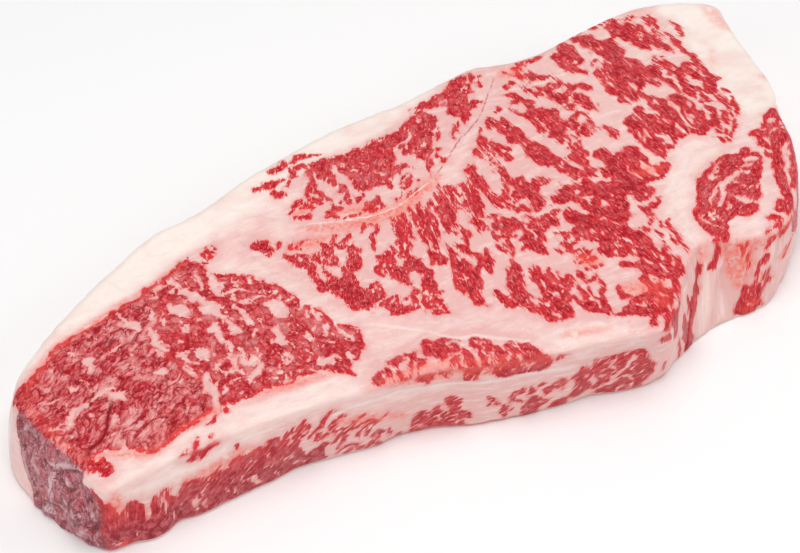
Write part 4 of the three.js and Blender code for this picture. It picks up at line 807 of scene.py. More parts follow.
# Parts of the wall, as outlines of length round the outline and height, with settings as above. "slant"
# leans the streaks: mm along for each mm up. A further setting is painted shade, how much it darkens and
# dulls the lean, and "fade" is how much of that shade is gone higher up.
wallMuscles = [
    {  # the dried end
        "outline": agedOutline,
        "across": 4.0, "along": 16.0, "slant": 0.5, "ground": 1.4, "marbling": 0, "wrinkled": 0.2,
        "dull": 0.3, "fade": 0.4,
    },
    {  # the striped corner
        "outline": [
            (41, -3), (40.4, 19), (41.4, 21.2), (43.4, 17.2), (46, 17.4), (48, 18), (50, 17.2), (52, 15.2),
            (53.6, 17.2), (55, 15), (56.7, 18), (58.5, 16), (59.6, 12.6), (60.6, 11), (62, 11), (62, -3),
        ],
        "across": 4.6, "along": 36.0, "slant": 0.12, "ground": 0.8, "marbling": 0.3, "wrinkled": 0,
        "dull": 0.75, "fade": 0.7, "depth": 0.5,
    },
    {  # the mottled part right of it
        "outline": [
            (61, -3), (60.6, 10.6), (61.5, 13), (63, 15.3), (66, 15.5), (70, 14.9), (72, 15.8), (75, 15),
            (77, 16.5), (81, 17.3), (84, 16.8), (86, 18), (88.5, 19.2), (90.5, 19), (91, 15), (90, 12.5),
            (93, 14), (95, 15.5), (97, 14), (96.5, 10), (97.5, 7.5), (101, 9.5), (103, 8.5), (103.5, 5),
            (102.5, 1), (102, -3),
        ],
        "across": 3.4, "along": 7.0, "slant": 0.9, "ground": 0.9, "marbling": 0.3, "wrinkled": 0.5,
        "dull": 0.55, "fade": 0.6, "depth": 0.4,
    },
    {  # patches of lean along the foot
        "outline": [
            (104, -4), (104, 10), (110, 14), (120, 15), (150, 15), (165, 16), (176, 19), (196, 19.6),
            (199, 10), (198, -4),
        ],
        "across": 3.2, "along": 4.6, "slant": 1.2, "ground": -1.0, "marbling": 0.45, "wrinkled": 0.2,
        "dull": 0.3, "fade": 0.4, "depth": 0.3,
    },
    {  # the front muscle's lower half
        "outline": [
            (118, 32), (120, 29), (122, 25.5), (125, 24.5), (130, 23.5), (133, 22), (134, 20.4),
            (135.2, 23), (136.6, 24.5), (138, 21.6), (139.6, 21.4), (140.2, 23.8), (143, 24), (144.6, 22),
            (143.4, 20.6), (146, 20), (148.2, 20.4), (149, 22.5), (149.4, 24), (151.4, 23.5), (151, 21.8),
            (153, 20.4), (158, 20.4), (164, 20), (167, 21), (168.6, 23), (168.4, 26), (168, 32),
        ],
        "across": 3.4, "along": 6.0, "slant": 0.5, "ground": 0.9, "marbling": 0.5, "wrinkled": 0.3,
        "dull": 0.45, "fade": 0, "depth": 0.4,
    },
    {  # the front right corner and the notch
        "outline": [(199.4, -4), (200, 30), (244, 30), (243, -4)],
        "across": 1.8, "along": 14.0, "slant": 0.0, "ground": -1.0, "marbling": 0.2, "wrinkled": 0.1,
        "dull": 0.2, "fade": 0.4,
    },
    {  # the notch's right side
        "outline": [(244, -4), (245, 30), (263, 30), (264, -4)],
        "across": 1.8, "along": 12.0, "slant": 0.3, "ground": -1.0, "marbling": 0.5, "wrinkled": 0.1,
        "dull": 0, "fade": 0,
    },
    {  # the end of the rim muscle, on the hidden right end
        "outline": [
            (276, -3), (281, 4), (279, 9), (273, 14), (268.5, 18.5), (268, 22), (272, 24), (276, 21),
            (281, 25), (284, 31), (309, 31), (306.5, 26), (309.5, 22), (306, 17), (308, 12), (303, 8),
            (305, 3), (301, -3),
        ],
        "across": 2.4, "along": 7.0, "slant": -0.8, "ground": 0.6, "marbling": 0.6, "wrinkled": 0.3,
        "dull": 0.3, "fade": 0.4,
    },
]

# Patches of lean on the wall, as closed outlines.
wallAreas = [
    (129.4, -4, 129.8, 5, 130.5, 9, 133, 9.8, 135, 9.5, 136.4, 8.6, 136, 10.5, 136.8, 12.2, 138.5, 11.6,
     139.4, 13.2, 141.2, 14.2, 143.2, 13, 143.5, 10, 143, 8, 141.6, 7, 145, 7.6, 145.7, 5.4, 144, 4, 145.6,
     -4),
    (154, 6, 155, 8, 157, 7.6, 157.6, 5.6, 156, 3, 154.4, -4, 158.2, -4),
    (159.8, -4, 160, 2, 161, 5, 162, 8, 164, 9.6, 166, 8.6, 168, 7.6, 169, 6, 168, 4, 166.6, 2.4, 165.2, -4),
    (166, 11, 168, 12.6, 169.5, 14.6, 172, 15.2, 174.2, 14, 174, 11, 172.5, 9, 170, 10.8, 168, 9.4, 166.4,
     10.4),
    (168, -4, 170, 3, 171, 5, 173, 6, 174.6, 5, 175, 2.4, 176, -4),
    (175.4, 14.4, 176.5, 16.2, 178, 18.2, 178.8, 16.2, 180.5, 15, 181.2, 11.5, 179.5, 9.6, 181.2, 8, 180.5,
     5, 178.5, 3.4, 176.5, 4, 175, 6, 176, 9, 176.5, 12),
    (181, 15, 180.4, 17, 182, 18.6, 184, 18, 188.5, 18.6, 191, 19.2, 194, 19.4, 196.2, 18, 196.5, 15,
     197.6, 13, 198.6, 10, 197.6, 6, 197, 4.4, 196, 2, 195, -4, 188, -4, 185, 2, 182.5, 2.4, 184, 4.6,
     181.4, 6, 183, 8.5, 182.4, 10.4, 182, 12.5),
    # the corner right of it and the notch
    (204.3, 31, 204.4, 25, 205, 20, 205.5, 16.8, 207.6, 16.4, 209, 18.5, 210.6, 22, 213, 23.6, 216, 25,
     221, 25.4, 225, 31),
    (213.4, 13, 214.4, 16.6, 216, 17, 217.4, 14.6, 219.6, 12, 221.6, 9, 223.6, 6.4, 226.2, 3.6, 227, -4,
     216.8, -4, 217.6, 2.6, 216.2, 6, 214.4, 10),
    (224.6, 16.4, 228, 17.6, 231, 19.2, 232.6, 21, 234, 22.4, 235.4, 22, 235.6, 20.8, 234.4, 19, 233.2, 17,
     232.4, 14.6, 230.8, 12.4, 228.6, 11, 226, 10, 225, 8, 223.4, 7.6, 221.6, 10, 222.4, 12.5, 223.6, 14.6),
    (244.8, 3.6, 247, 7.2, 249, 9.7, 252, 10.8, 253.3, 13, 253.4, 17, 254.4, 19.7, 256, 20.3, 257.7, 19,
     256.1, 17, 254.7, 15, 254.2, 12, 253.8, 10, 254.8, 8, 255.2, 5, 255.6, 3, 254.2, -4, 246.8, -4),
    (256, 6, 256, 8, 255.4, 12, 256.8, 15.2, 258.7, 14, 258.2, 11, 257.2, 8),
]

# Bars of lean on the wall, and channels and islands of fat in its lean.
wallLean = [
    # slanted streaks where the coarse muscle's edge runs out
    (0.7, 90, 12, 91.5, 16, 93, 19.4), (0.6, 92.5, 15.6, 95, 20), (0.7, 94, 14.5, 96.5, 17.5, 98, 20.6),
    (0.6, 97, 15.5, 99.2, 19), (0.6, 99.5, 14.5, 102, 17, 104.5, 19.5, 107, 21.6),
    (0.6, 101, 12.5, 102.2, 14.4), (0.7, 103, 13, 106, 16, 108, 18, 109.6, 18.6),
    (0.7, 101, 11.8, 104, 12.3, 107, 13.5, 110, 14.5, 113, 16, 115.4, 17.2),
    (0.7, 106, 12.6, 109, 12.7, 112, 14.2), (0.8, 111, 13, 114, 13.5, 119, 13.6),
    (0.5, 114.5, 12, 118, 12.5, 122, 15), (0.6, 112.8, 8, 114, 10.5, 115.5, 12.2, 116.5, 10, 115.4, 7.4),
    (0.9, 96, 5, 99, 7.5, 102, 9.5), (0.9, 103, 8, 106, 9.8, 110, 10.5, 108.4, 8, 107, 6),
    (0.7, 106.5, 3.5, 109, 5.2, 112, 5.5, 114, 5.3), (0.8, 108.5, 1.6, 111, 3.5),
    (1.0, 113, 3.5, 116, 2, 118, 2.5, 121, 1.5),
    (0.7, 118, 5, 118, 7, 119.4, 7.6, 120.6, 6.4, 119.6, 4.8, 118, 5), (0.7, 122.5, 7.2, 124, 3.8),
    (0.5, 126, 1, 127.6, 3),
    # red spots on the upper wall
    (0.7, 65, 22.8, 68, 23.3, 71, 23.2, 74.6, 24.3), (0.5, 68.4, 21.8, 71, 22.2),
    (0.4, 64, 25.3, 66.6, 26), (0.6, 67.8, 25.2, 68.4, 28), (0.9, 72.3, 25.8, 73.6, 27.6),
    (0.4, 79, 20.8, 79.8, 20.3), (0.6, 170, 23, 172, 24.5, 174, 25, 176.6, 26.6),
    # between the patches
    (0.7, 150.4, 13.2, 151.4, 11.4, 152.6, 10.4), (0.4, 150.4, 9.2, 153.6, 9),
    (0.5, 157, 11, 159.5, 12, 160.6, 13.7), (0.7, 162, 10.4, 163, 13.2, 164, 12),
    (0.5, 165.2, 13.4, 166.2, 14.7), (0.9, 157, 8.5, 159, 9.5, 160.2, 8),
    # at the front right corner and in the notch
    (0.9, 199.5, 22.5, 201, 20.5, 203, 19.5), (0.5, 201.8, 8.4, 201.8, 5.6), (0.5, 202, 23, 203.4, 23),
    (0.7, 200.5, 28, 202, 25, 203.2, 23.8), (1.3, 220, 15, 221, 17, 221, 19.4),
    (0.8, 211, 12, 212.4, 6, 214, 0), (0.5, 209.4, 14, 210.4, 8), (0.6, 240.5, 28, 241, 23.6),
    (0.8, 243, 27.4, 242.5, 24, 241, 21, 239.8, 18.8), (0.9, 243.5, 28.5, 244.6, 25.6),
    (1.0, 237.4, 17.8, 240.2, 19.6), (0.5, 248.4, 26, 249.2, 20), (0.5, 250.6, 23, 250, 16),
    (1.3, 250.4, 24, 252.6, 27.4), (0.8, 256.5, 21, 258.6, 23.6, 257, 24.6), (0.4, 257, 27, 260, 27.6),
    (1.0, 261, 24, 263.4, 26.4), (0.8, 261, 22, 264, 22.7, 268, 24, 270, 23),
    (1.0, 262, 14.5, 264, 15.5, 268, 16), (0.5, 263, 4.5, 264.6, 2.8),
    (1.5, 270, 19, 273, 20, 276, 18, 280, 14, 284, 9, 287, 5),
]
wallFat = [
    (0.5, 45.4, 17, 45.4, 10.6), (0.5, 51.5, 16, 51.6, 9.6), (0.4, 54.3, 16, 54.4, 8.6),
    (0.9, 57, 16.4, 57, 9), (0.4, 48.4, 8, 48.6, 4), (1.0, 41.4, 3.4, 44.6, 3.6), (0.4, 59.4, 8, 59.2, 4),
    (0.9, 65.5, 9, 66.3, 2.6), (0.5, 68.6, 1.6, 68, 7, 68.6, 11, 70, 13, 72.2, 12.8),
    (0.6, 76.4, 6.2, 76.9, 2.2), (1.0, 81, 7, 83.6, 4.6, 82, 2.6), (0.5, 80.4, 13.2, 83.2, 12.2),
    (0.6, 88.6, 4.2, 89.8, 1.6), (0.9, 93.4, 4.6, 97.2, 2.8), (0.8, 96.6, 13, 97.6, 8.6),
    (0.5, 73.4, 8, 74.6, 5), (0.5, 86, 14, 88, 10.6), (0.5, 91, 9.6, 92.6, 7.6), (0.5, 61.8, 9, 63.2, 5),
    (0.5, 85, 9, 87, 7.4), (0.4, 78.8, 9.8, 79.4, 7), (0.9, 138, 11.2, 139.8, 9.8),
    (0.5, 136.8, 3.6, 137.6, 7.2), (0.5, 139.4, 8.6, 140.6, 6.2), (0.5, 141.8, 3.6, 142.6, 6.2),
    (0.5, 133, 8, 135, 7), (0.5, 132, 4.4, 133.6, 2), (0.9, 170.4, 12.6, 171, 12),
    (0.7, 173, 3.6, 173.4, 3), (0.9, 177.3, 7.8, 177.6, 7), (0.6, 163, 6, 164.4, 4),
    (0.9, 184, 4.4, 187, 7.5, 189, 10.5, 192, 14.2), (1.3, 192, 14.2, 192.6, 17.7),
    (0.5, 186, 17.2, 187.5, 15.4, 184, 15.4), (0.6, 189.5, 5.2, 190, 1),
    (0.7, 190, 9.5, 192, 8, 193.6, 5.3), (1.0, 192, 11.2, 192.8, 10.8), (0.6, 193, 1.6, 193, 4.8),
    (0.5, 183.3, 13.6, 183.8, 12), (0.5, 184, 9.2, 185.2, 8), (0.5, 195, 12, 195.4, 9),
    (0.5, 187.4, 13, 189, 12.6), (0.5, 178.8, 13.6, 179.6, 11.8), (0.8, 147, 24.8, 147.6, 28.4),
    (0.8, 155.4, 28.4, 156.6, 25.2), (0.7, 163.4, 26.6, 166.2, 25.3), (0.6, 127.6, 26, 130, 24.6),
    (0.5, 151, 26, 153.6, 24), (0.5, 141.4, 27, 142.4, 24.4), (0.5, 159.4, 24, 162.4, 22.6),
    (0.5, 135.4, 28, 135.2, 25), (0.7, 210.4, 26, 211.4, 23.4), (0.5, 227, 14.6, 229.6, 14),
    (0.9, 249, 4, 252, 4.6), (0.5, 250, 8, 252, 8.6), (0.8, 275, 22, 279, 13, 281, 4),
    (0.9, 287, 26, 292, 16, 295, 8), (0.9, 300, 24, 304, 14, 306, 4),
]

# Pale veins and dark creases of the dried end.
agedVeins = [
    (1.1, 21.4, 19.6, 20.6, 15, 21, 11, 21.6, 7.6), (1.0, 18, 19.4, 22, 20.6, 25, 23, 28, 24.6, 30.6, 25),
    (1.2, 25.8, 18.8, 27.4, 18.2), (1.3, 26, 12.4, 27, 11.4), (1.9, 19.4, 5, 22, 4),
    (0.5, 20, 6.6, 25, 8.2, 29, 9.4), (0.9, 34.6, 8, 32.6, 4.6, 29.4, 0.4), (0.6, 36.4, 15.6, 37.2, 12),
    (0.8, 14, 18.4, 13.6, 16, 16, 14), (0.6, 7, 22, 9, 24.4, 13, 24.4), (0.5, 15, 22.6, 17, 22),
    (0.5, 37.6, 9, 36.6, 4), (0.7, 8.6, 16, 11, 11, 15, 7), (0.5, 31, 13.4, 32, 11),
    (0.5, 24, 15.6, 26, 14.6),
]
agedCreases = [
    (0.6, 8.6, 23.8, 11, 22.8, 14.4, 22), (0.6, 11.4, 20, 12, 16, 13, 12.4),
    (0.6, 15.4, 7, 17, 4.4, 17.4, 1), (0.6, 23, 18.8, 24.4, 16.8, 27, 16, 29.2, 17.6, 29.4, 20.4),
    (0.9, 27.4, 9, 28.8, 11, 28.6, 14, 30, 15.4), (0.5, 20, 6.4, 23, 6.6, 24, 5),
    (1.3, 36, 7, 38.4, 11, 39.6, 15), (0.8, 38.6, 2, 39.8, 8), (0.7, 35, 20, 36, 17.6),
    (0.5, 16, 19.6, 19.6, 18.6), (0.6, 41, 10, 41.4, 4, 43.4, 4.6), (0.5, 27, 5, 25.4, 2),
    (0.6, 32, 9, 30.6, 6), (0.5, 25, 20.6, 29.8, 24.4), (0.4, 5.6, 24, 7.4, 20, 9, 17),
]

# Places that connective tissue and fresh blood turn orange: below the cap, round the coarse muscle, at the
# right end's edge, at the eye's front corner, along the front and in small islands. Then those of the wall.
flushStrokes = [
    (2.2, -28, 19, -16, 14.5, 0, 13.5, 9, 17.5, 16, 21), (2.5, 126, 52, 127, 40), (1.0, 117, 33, 113, 26),
    (1.5, 123, 17, 127, 15), (0.7, 18, -50, 30, -53), (1.0, 112, 59, 100, 60),
    (0.9, -120, -4, -115, 2, -107, 8.5, -98, 11, -90, 13.5, -83, 16.4),
    (0.5, -80, 17, -70, 20.5, -63, 22.5),
    (0.6, -121, -6, -119.5, -16, -117.5, -24, -114.5, -31, -107, -33.5),
    (1.5, -107, -33, -100, -37, -94, -36), (1.0, -92, -34.5, -84, -32.5, -76, -31.5),
    (2.5, 36, -26, 40, -30), (3.0, 42, -42, 50, -46, 48, -52), (2.0, 54, 52, 60, 51),
    (1.5, -18, 21, -6, 18), (1.5, -26, 26, -22, 27), (2.0, -34, 14, -24, 13),
    (0.8, -66, -31.5, -44, -33.5), (2.0, 68, -4, 76, -5),
    (1.3, -37, -43, -30, -42.8, -22, -42, -14, -44, -8, -48, 0, -50.6, 8, -53.4),
]
wallFlush = [
    (5.2, 247.4, 13, 248, 27), (3.0, 252, 22, 255, 27), (1.5, 236, 21.6, 237.4, 23.6),
    (2.0, 248, 2.6, 254, 4), (1.5, 258, 25, 268, 24), (1.2, 262, 15, 267, 15.4), (1.5, 236, 27, 244, 27),
    (2.0, 230, 26, 240, 27), (1.0, 215, 28, 220, 27, 226, 25.4), (2.0, 43, 16, 43, 24),
    (1.5, 108, 17, 122, 14), (2.5, 222, 28, 230, 27), (1.5, 64, 16.5, 84, 18), (2.0, 44, 2, 46, 3),
    (1.0, 122, 14, 128, 10), (1.5, 148, 27, 168, 27), (2.2, 124, 25.4, 136, 23.6, 150, 24, 168, 23.6),
]

# Painted highlights along wet edges that catch the light, on the cut face and on the wall.
topPaintedHighlights = [
    (0.4, -14, -31.4, -11.8, -34, -9.6, -36.4, -7, -38, -3.6, -38.6, 0, -41.4, 4.6, -44.6, 8, -47.2),
    (0.3, -10.4, -37.6, -9.2, -38.4, -8.6, -40.4), (0.3, -27, -21.6, -20.6, -26, -13.6, -31.4),
]
wallPaintedHighlights = [
    (0.5, 106, 20, 112, 21, 120, 21.3, 125, 21, 130, 20, 135, 19, 140, 19.2, 145, 18.8, 150, 18.2, 157,
     18.3),
    (0.8, 157, 18.6, 166, 19, 176, 18.4), (0.4, 243, 20, 241.6, 17), (0.4, 219, 23, 222, 22.6),
]

# Where the wall's fat is nearly white: cream fat, and from 31 to 47 round the outline a painted highlight on
# the fat that bulges at the front-left corner.
wallCreamAndHighlight = [
    (4.0, 231, 0, 233, 8, 236, 15), (1.5, 240, 10, 241, 2), (2.0, 31, 25, 36, 23.6, 42, 24, 47, 26),
    (2.0, 48, 21, 70, 20, 85, 23),
]

# Seams of the cut face whose fat is paler than the rest. All of these are strokes: half width, then points.
paleSeams = [
    (4.0, 68, -32, 71, -20, 78, -9, 88, -4, 100, -3), (2.5, 100, -12, 98, -24, 92, -35),
    (2.2, -34, 24, -30, 32, -23, 32), (2.2, -56, 17, -48, 10, -42, 2, -38, -9, -34, -19),
    (2.5, 8, -52.5, 20, -51.5, 30, -52.5, 38, -54),
]

# The thin sheet between the cap and the eye, pale at its left end and dark red from there on.
fascia = [
    -27, 21, -20, 18, -10, 15.2, -4, 14.8, 0, 15.2, 8, 18, 15, 21.2, 20, 24.5, 25, 28.5, 29, 31.8, 33, 34,
    37, 36.4, 41, 40, 44, 43.6, 48, 47.6, 52, 52.5,
]

# The deepest crease of the coarse muscle, cut in as a groove and darkened with painted shade.
mainCrease = [-115, -30.5, -111, -28.4, -108, -27, -105.4, -24.2, -103.5, -20.8, -102, -18, -99.5, -15]

# The y behind which the cut face is outer fat, at places along the steak.
backFat = {
    "x": [-128, -118, -105, -90, -75, -62, -50, -30, -15, 8, 22, 33, 42, 52],
    "y": [-6, 2, 10, 14.5, 19, 25, 29, 34, 42, 43, 49, 53, 57, 57],
}

# Ranges over which one thing turns into the next, as lengths round the outline or heights.
wallEnds = {"left": (-2, 4), "right": (312, 318)}  # of the front wall, whose lean is drawn above
notch = (203, 264)
# painted shade of the wall's lean: it fades out over the low heights and ends over the high ones
shadeHeights = {"low": (5, 15), "high": (22.5, 26.5)}  # the dull look fades at the low, and ends at the high
frayedFoot = (21, 26)  # where the top's muscles end on the back wall
creamHeights = (20, 28)  # where the top's cream fat begins on the wall

faceEdge = (0.1, 0.9)  # share of the top or the underside over which the wall turns into it
grainDepth = 14.0  # the flecks change over this thickness, in mm
elsewhere = {"grain": 40, "flow": 9}  # moves the wall's patterns off those of the cut face
# a margin that keeps the painted highlights of one face off the other
unfelt = 9.0  # more than any stroke's distance, to keep the gleams of one face off the other

# The streaks of the fat in mm: along, across and up in the cut face, along and up in the wall, and upright
# in the notch, where they lean by mm along for each mm up.
fatFlow = {"cut": (7, 2.6, 1.4), "wall": (7, 1.4), "notch": (1.6, 12), "notchLean": 0.12}


# How much a point of the top is cream outer fat and not pink fat between the muscles: all of it behind the
# muscles and at the right end, and less along the front, in the pale seams and in the eye's right half.
def creamShare(x, y):
    back = smoothStep(-3, 4, y - np.interp(x, backFat["x"], backFat["y"]))
    right = smoothStep(106, 113, x - 0.06 * (y - 30)) * smoothStep(-2, 6, y)
    front = 0.55 * smoothStep(-33, -36, y) * smoothStep(-112, -104, x) * (1 - smoothStep(-40, -30, x))
    seam = 0.5 * smoothStep(-3, 2, strokeDistance(np.column_stack([x, y]), paleSeams))
    inEye = 0.35 * smoothStep(45, 72, x)
    return np.clip(np.maximum.reduce([back, right, front, seam, inEye]), 0, 1)


# How far the wall has dried: crisp at its left edge and fading over several mm into the striped corner.
def agedEdge(wall):
    inside = insideDistance(wall, agedOutline)
    return mix(smoothStep(-2.2, -0.4, inside), smoothStep(-1.5, 5.5, inside), smoothStep(33, 39, wall[:, 0]))


# Every field of the surface, one number or three a point. The muscles run through the thickness, so the
# cut faces' fields follow from x and y alone.
def steakFields(points, face, around):
    x, y, z = points.T
    flat, wall = np.column_stack([x, y]), np.column_stack([around, z])
    cut = leanFields(flat, muscles.values(), cutGrain, (51, 52), leanAreas, leanStrokes, fatStrokes)
    drawn = leanFields(wall, wallMuscles, wallGrain, (61, 62), wallAreas, wallLean, wallFat)
    # painted shade on the wall's lean: darker towards the foot, none at the top edge
    dull = drawn["dull"] * (1 - drawn["fade"] * smoothStep(*shadeHeights["low"], z))
    dull *= 1 - smoothStep(*shadeHeights["high"], z)
    front = smoothStep(*wallEnds["left"], around) * (1 - smoothStep(*wallEnds["right"], around))
    anyWall = 1 - smoothStep(*faceEdge, np.abs(face))
    side = anyWall * front
    onWall = side > 0.5

    # the back wall is outer fat, and the muscles of the top end near its upper edge, which is frayed
    frayed = z + 2.5 * noise(points / [5, 5, 30], 71)
    below = anyWall * (1 - front) * (1 - smoothStep(*frayedFoot, frayed))
    level = mix(cut["level"], drawn["level"], side) - 5.0 * below
    across = np.where(onWall, drawn["across"] + elsewhere["grain"], cut["across"])
    along = np.where(onWall, drawn["along"], cut["along"])
    depth = np.where(onWall, 0.0, z / grainDepth)

    topCream = creamShare(x, y)
    # cream fat of the wall, with a painted highlight at the front-left corner
    sideCreamAndHighlight = np.maximum(0.12, 0.8 * smoothStep(-3.0, 3.0, strokeDistance(wall, wallCreamAndHighlight)))
    backCream = 0.8 - 0.5 * smoothStep(0.1, 0.7, noise(points / [30, 30, 6], 72))
    creamAndHighlight = mix(topCream, np.maximum(topCream * smoothStep(*creamHeights, z), sideCreamAndHighlight), side)

    upright = onWall & (around > notch[0]) & (around < notch[1])
    leaned = np.column_stack([around - fatFlow["notchLean"] * z, z])
    wallFlow = np.column_stack([wall / fatFlow["wall"], 0 * z])
    notchFlow = np.column_stack([leaned / fatFlow["notch"], 0 * z + elsewhere["flow"]])
    flow = np.where(onWall[:, None], wallFlow, points / fatFlow["cut"])

    topFlush = smoothStep(-2.0, 2.0, strokeDistance(flat, flushStrokes)) * (1 - side) * (1 - below)
    sideFlush = smoothStep(-2.0, 2.0, strokeDistance(wall, wallFlush)) * side
    # painted highlights along wet edges of the top and of the wall
    topPaintedHighlight = strokeDistance(flat, topPaintedHighlights) - side * unfelt
    sidePaintedHighlight = strokeDistance(wall, wallPaintedHighlights) - (1 - side) * unfelt
    aged = (1 - smoothStep(0.3, 1.0, np.abs(face))) * front * agedEdge(wall)
    veins, creases = (np.where(side > 0, strokeDistance(wall, s), -farAway) for s in (agedVeins, agedCreases))
    fasciaOffset, fasciaTravelled, fasciaShare = lineOffset(flat, fascia)
    creaseOffset, _, creaseShare = lineOffset(flat, mainCrease)
    onTop = face > 0.5
    return {
        "level": level,
        "marbling": mix(cut["marbling"], drawn["marbling"], side),
        "wrinkled": mix(cut["wrinkled"], drawn["wrinkled"], side),
        "grain": np.column_stack([across, along, depth]),
        "creamAndHighlight": mix(creamAndHighlight, backCream, below),
        "flow": np.where(upright[:, None], notchFlow, flow),
        "flush": np.maximum(topFlush, sideFlush),
        "dull": dull * side,
        "paintedHighlight": smoothStep(-0.4, 0.4, np.maximum(topPaintedHighlight, sidePaintedHighlight)),
        "aged": np.column_stack([aged, veins, creases]),
        "fascia": np.column_stack([fasciaOffset, fasciaTravelled, fasciaShare * onTop]),
        "crease": np.column_stack([creaseOffset, creaseShare * onTop, 0 * x]),
    }


# The fine relief, in mm.
steakRelief = {
    "leanRise": 0.18,
    "noises": [(0.12, 16.0, 21), (0.04, 3.0, 31)],  # height, size and seed of waves and pores
    "wrinkles": (0.12, 3.5, 35),  # and of wrinkled lean
    "crumples": (0.4, (7, 7, 11), 41),  # and of the dried end
    "veinRise": 0.5,
    "creaseDrop": 0.9,
    "groove": (0.5, 0.8),  # depth and width of the deepest crease
    # a fine furrow along the wall: depth and width, length round the outline and height of its points, and
    # the lengths between which it begins and ends
    "furrow": (0.5, 1.0),
    "furrowPath": ([60, 120, 150, 200], [17, 21, 17.5, 19]),
    "furrowEnds": ((100, 120), (195, 205)),
    # upright folds in the notch: depth, pitch and lean, and the lengths between which they begin and end
    "folds": (0.9, 9.0, 0.35),
    "foldEnds": ((216, 222), (262, 270)),
}


# Relief in mm, outwards: lean swells a little over the fat, the end face is crumpled, and a groove and a
# furrow of -depth exp(-(distance / width)^2) and folds of -depth max(0, sin(2 pi along / pitch))^3 run in.
def reliefHeight(points, face, around, fields):
    s = steakRelief
    z = points[:, 2]
    side = 1 - smoothStep(*faceEdge, np.abs(face))
    relief = s["leanRise"] * smoothStep(-1.0, 1.0, fields["level"]) * (np.abs(face) > 0.5)
    for height, size, seed in s["noises"]:
        relief += height * roughNoise(points / size, seed)
    height, size, seed = s["wrinkles"]
    relief += height * fields["wrinkled"] * roughNoise(points / size, seed)
    aged, veins, creases = fields["aged"].T
    height, size, seed = s["crumples"]
    crumpled = height * roughNoise(points / size, seed) + s["veinRise"] * smoothStep(-0.5, 0.8, veins)
    relief += aged * (crumpled - s["creaseDrop"] * smoothStep(-0.8, 0.6, creases))
    creaseOffset, creaseShare, _ = fields["crease"].T
    depth, width = s["groove"]
    relief -= depth * np.exp(-(creaseOffset / width) ** 2) * creaseShare
    depth, width = s["furrow"]
    furrow = depth * np.exp(-((z - np.interp(around, *s["furrowPath"])) / width) ** 2)
    depth, pitch, lean = s["folds"]
    folds = depth * np.maximum(0, np.sin((around - lean * z) * 2 * math.pi / pitch)) ** 3
    for hollow, ends in ((furrow, s["furrowEnds"]), (folds, s["foldEnds"])):
        (start, full), (last, end) = ends
        relief -= hollow * side * smoothStep(start, full, around) * (1 - smoothStep(last, end, around))
    return np.where(face <= -0.9, 0.0, relief)


fieldLimit = 20.0  # distances beyond this are stored as this


def makeSteak():
    points, face, around = steakSurface()
    used, faces = closedFaces(*face.shape)
    points = points.reshape(-1, 3)[used]
    face = face.reshape(-1)[used]
    around = around.reshape(-1)[used]
    fields = steakFields(points, face, around)
    mesh = bpy.data.meshes.new("steakMeat")
    mesh.from_pydata((points * mm).tolist(), [], faces.tolist())
    mesh.update()
    normals = np.zeros(len(points) * 3, np.float32)
    mesh.vertices.foreach_get("normal", normals)
    moved = points + normals.reshape(-1, 3) * reliefHeight(points, face, around, fields)[:, None]
    moved[:, 2] = np.maximum(moved[:, 2], 0.0)
    mesh.vertices.foreach_set("co", (moved * mm).astype(np.float32).ravel())
    for name, values in fields.items():
        if values.ndim == 2:
            mesh.attributes.new(name, "FLOAT_VECTOR", "POINT").data.foreach_set("vector", values.ravel())
        else:
            values = np.clip(values, -fieldLimit, fieldLimit)
            mesh.attributes.new(name, "FLOAT", "POINT").data.foreach_set("value", values)
    mesh.polygons.foreach_set("use_smooth", np.ones(len(faces), bool))
    mesh.update()
    steak = bpy.data.objects.new("steak_meat", mesh)
    bpy.context.scene.collection.objects.link(steak)
    print(f"steak: {len(faces) * 2} triangles")
    return steak


def toLinear(hexColour):
    channels = [int(hexColour[i:i + 2], 16) / 255 for i in (1, 3, 5)]
    return (*[c / 12.92 if c <= 0.04045 else ((c + 0.055) / 1.055) ** 2.4 for c in channels], 1.0)


# Adds a node of a kind with its settings. Its sockets, by number or name, are linked to other nodes'
# outputs or given plain values. What comes back is the asked output, or all of them if that is None.
def addNode(tree, kind, sockets=(), output=0, **settings):
    node = tree.nodes.new("ShaderNode" + kind)
    for name, value in settings.items():
        setattr(node, name, value)
    for socket, value in sockets.items() if isinstance(sockets, dict) else enumerate(sockets):
        if isinstance(value, bpy.types.NodeSocket):
            tree.links.new(value, node.inputs[socket])
        else:
            node.inputs[socket].default_value = value
    return node.outputs if output is None else node.outputs[output]


def newMaterial(name):
    material = bpy.data.materials.new(name)
    material.use_nodes = True
    material.node_tree.nodes.clear()
    return material, partial(addNode, material.node_tree)


even = (1.0, 1.0, 1.0)

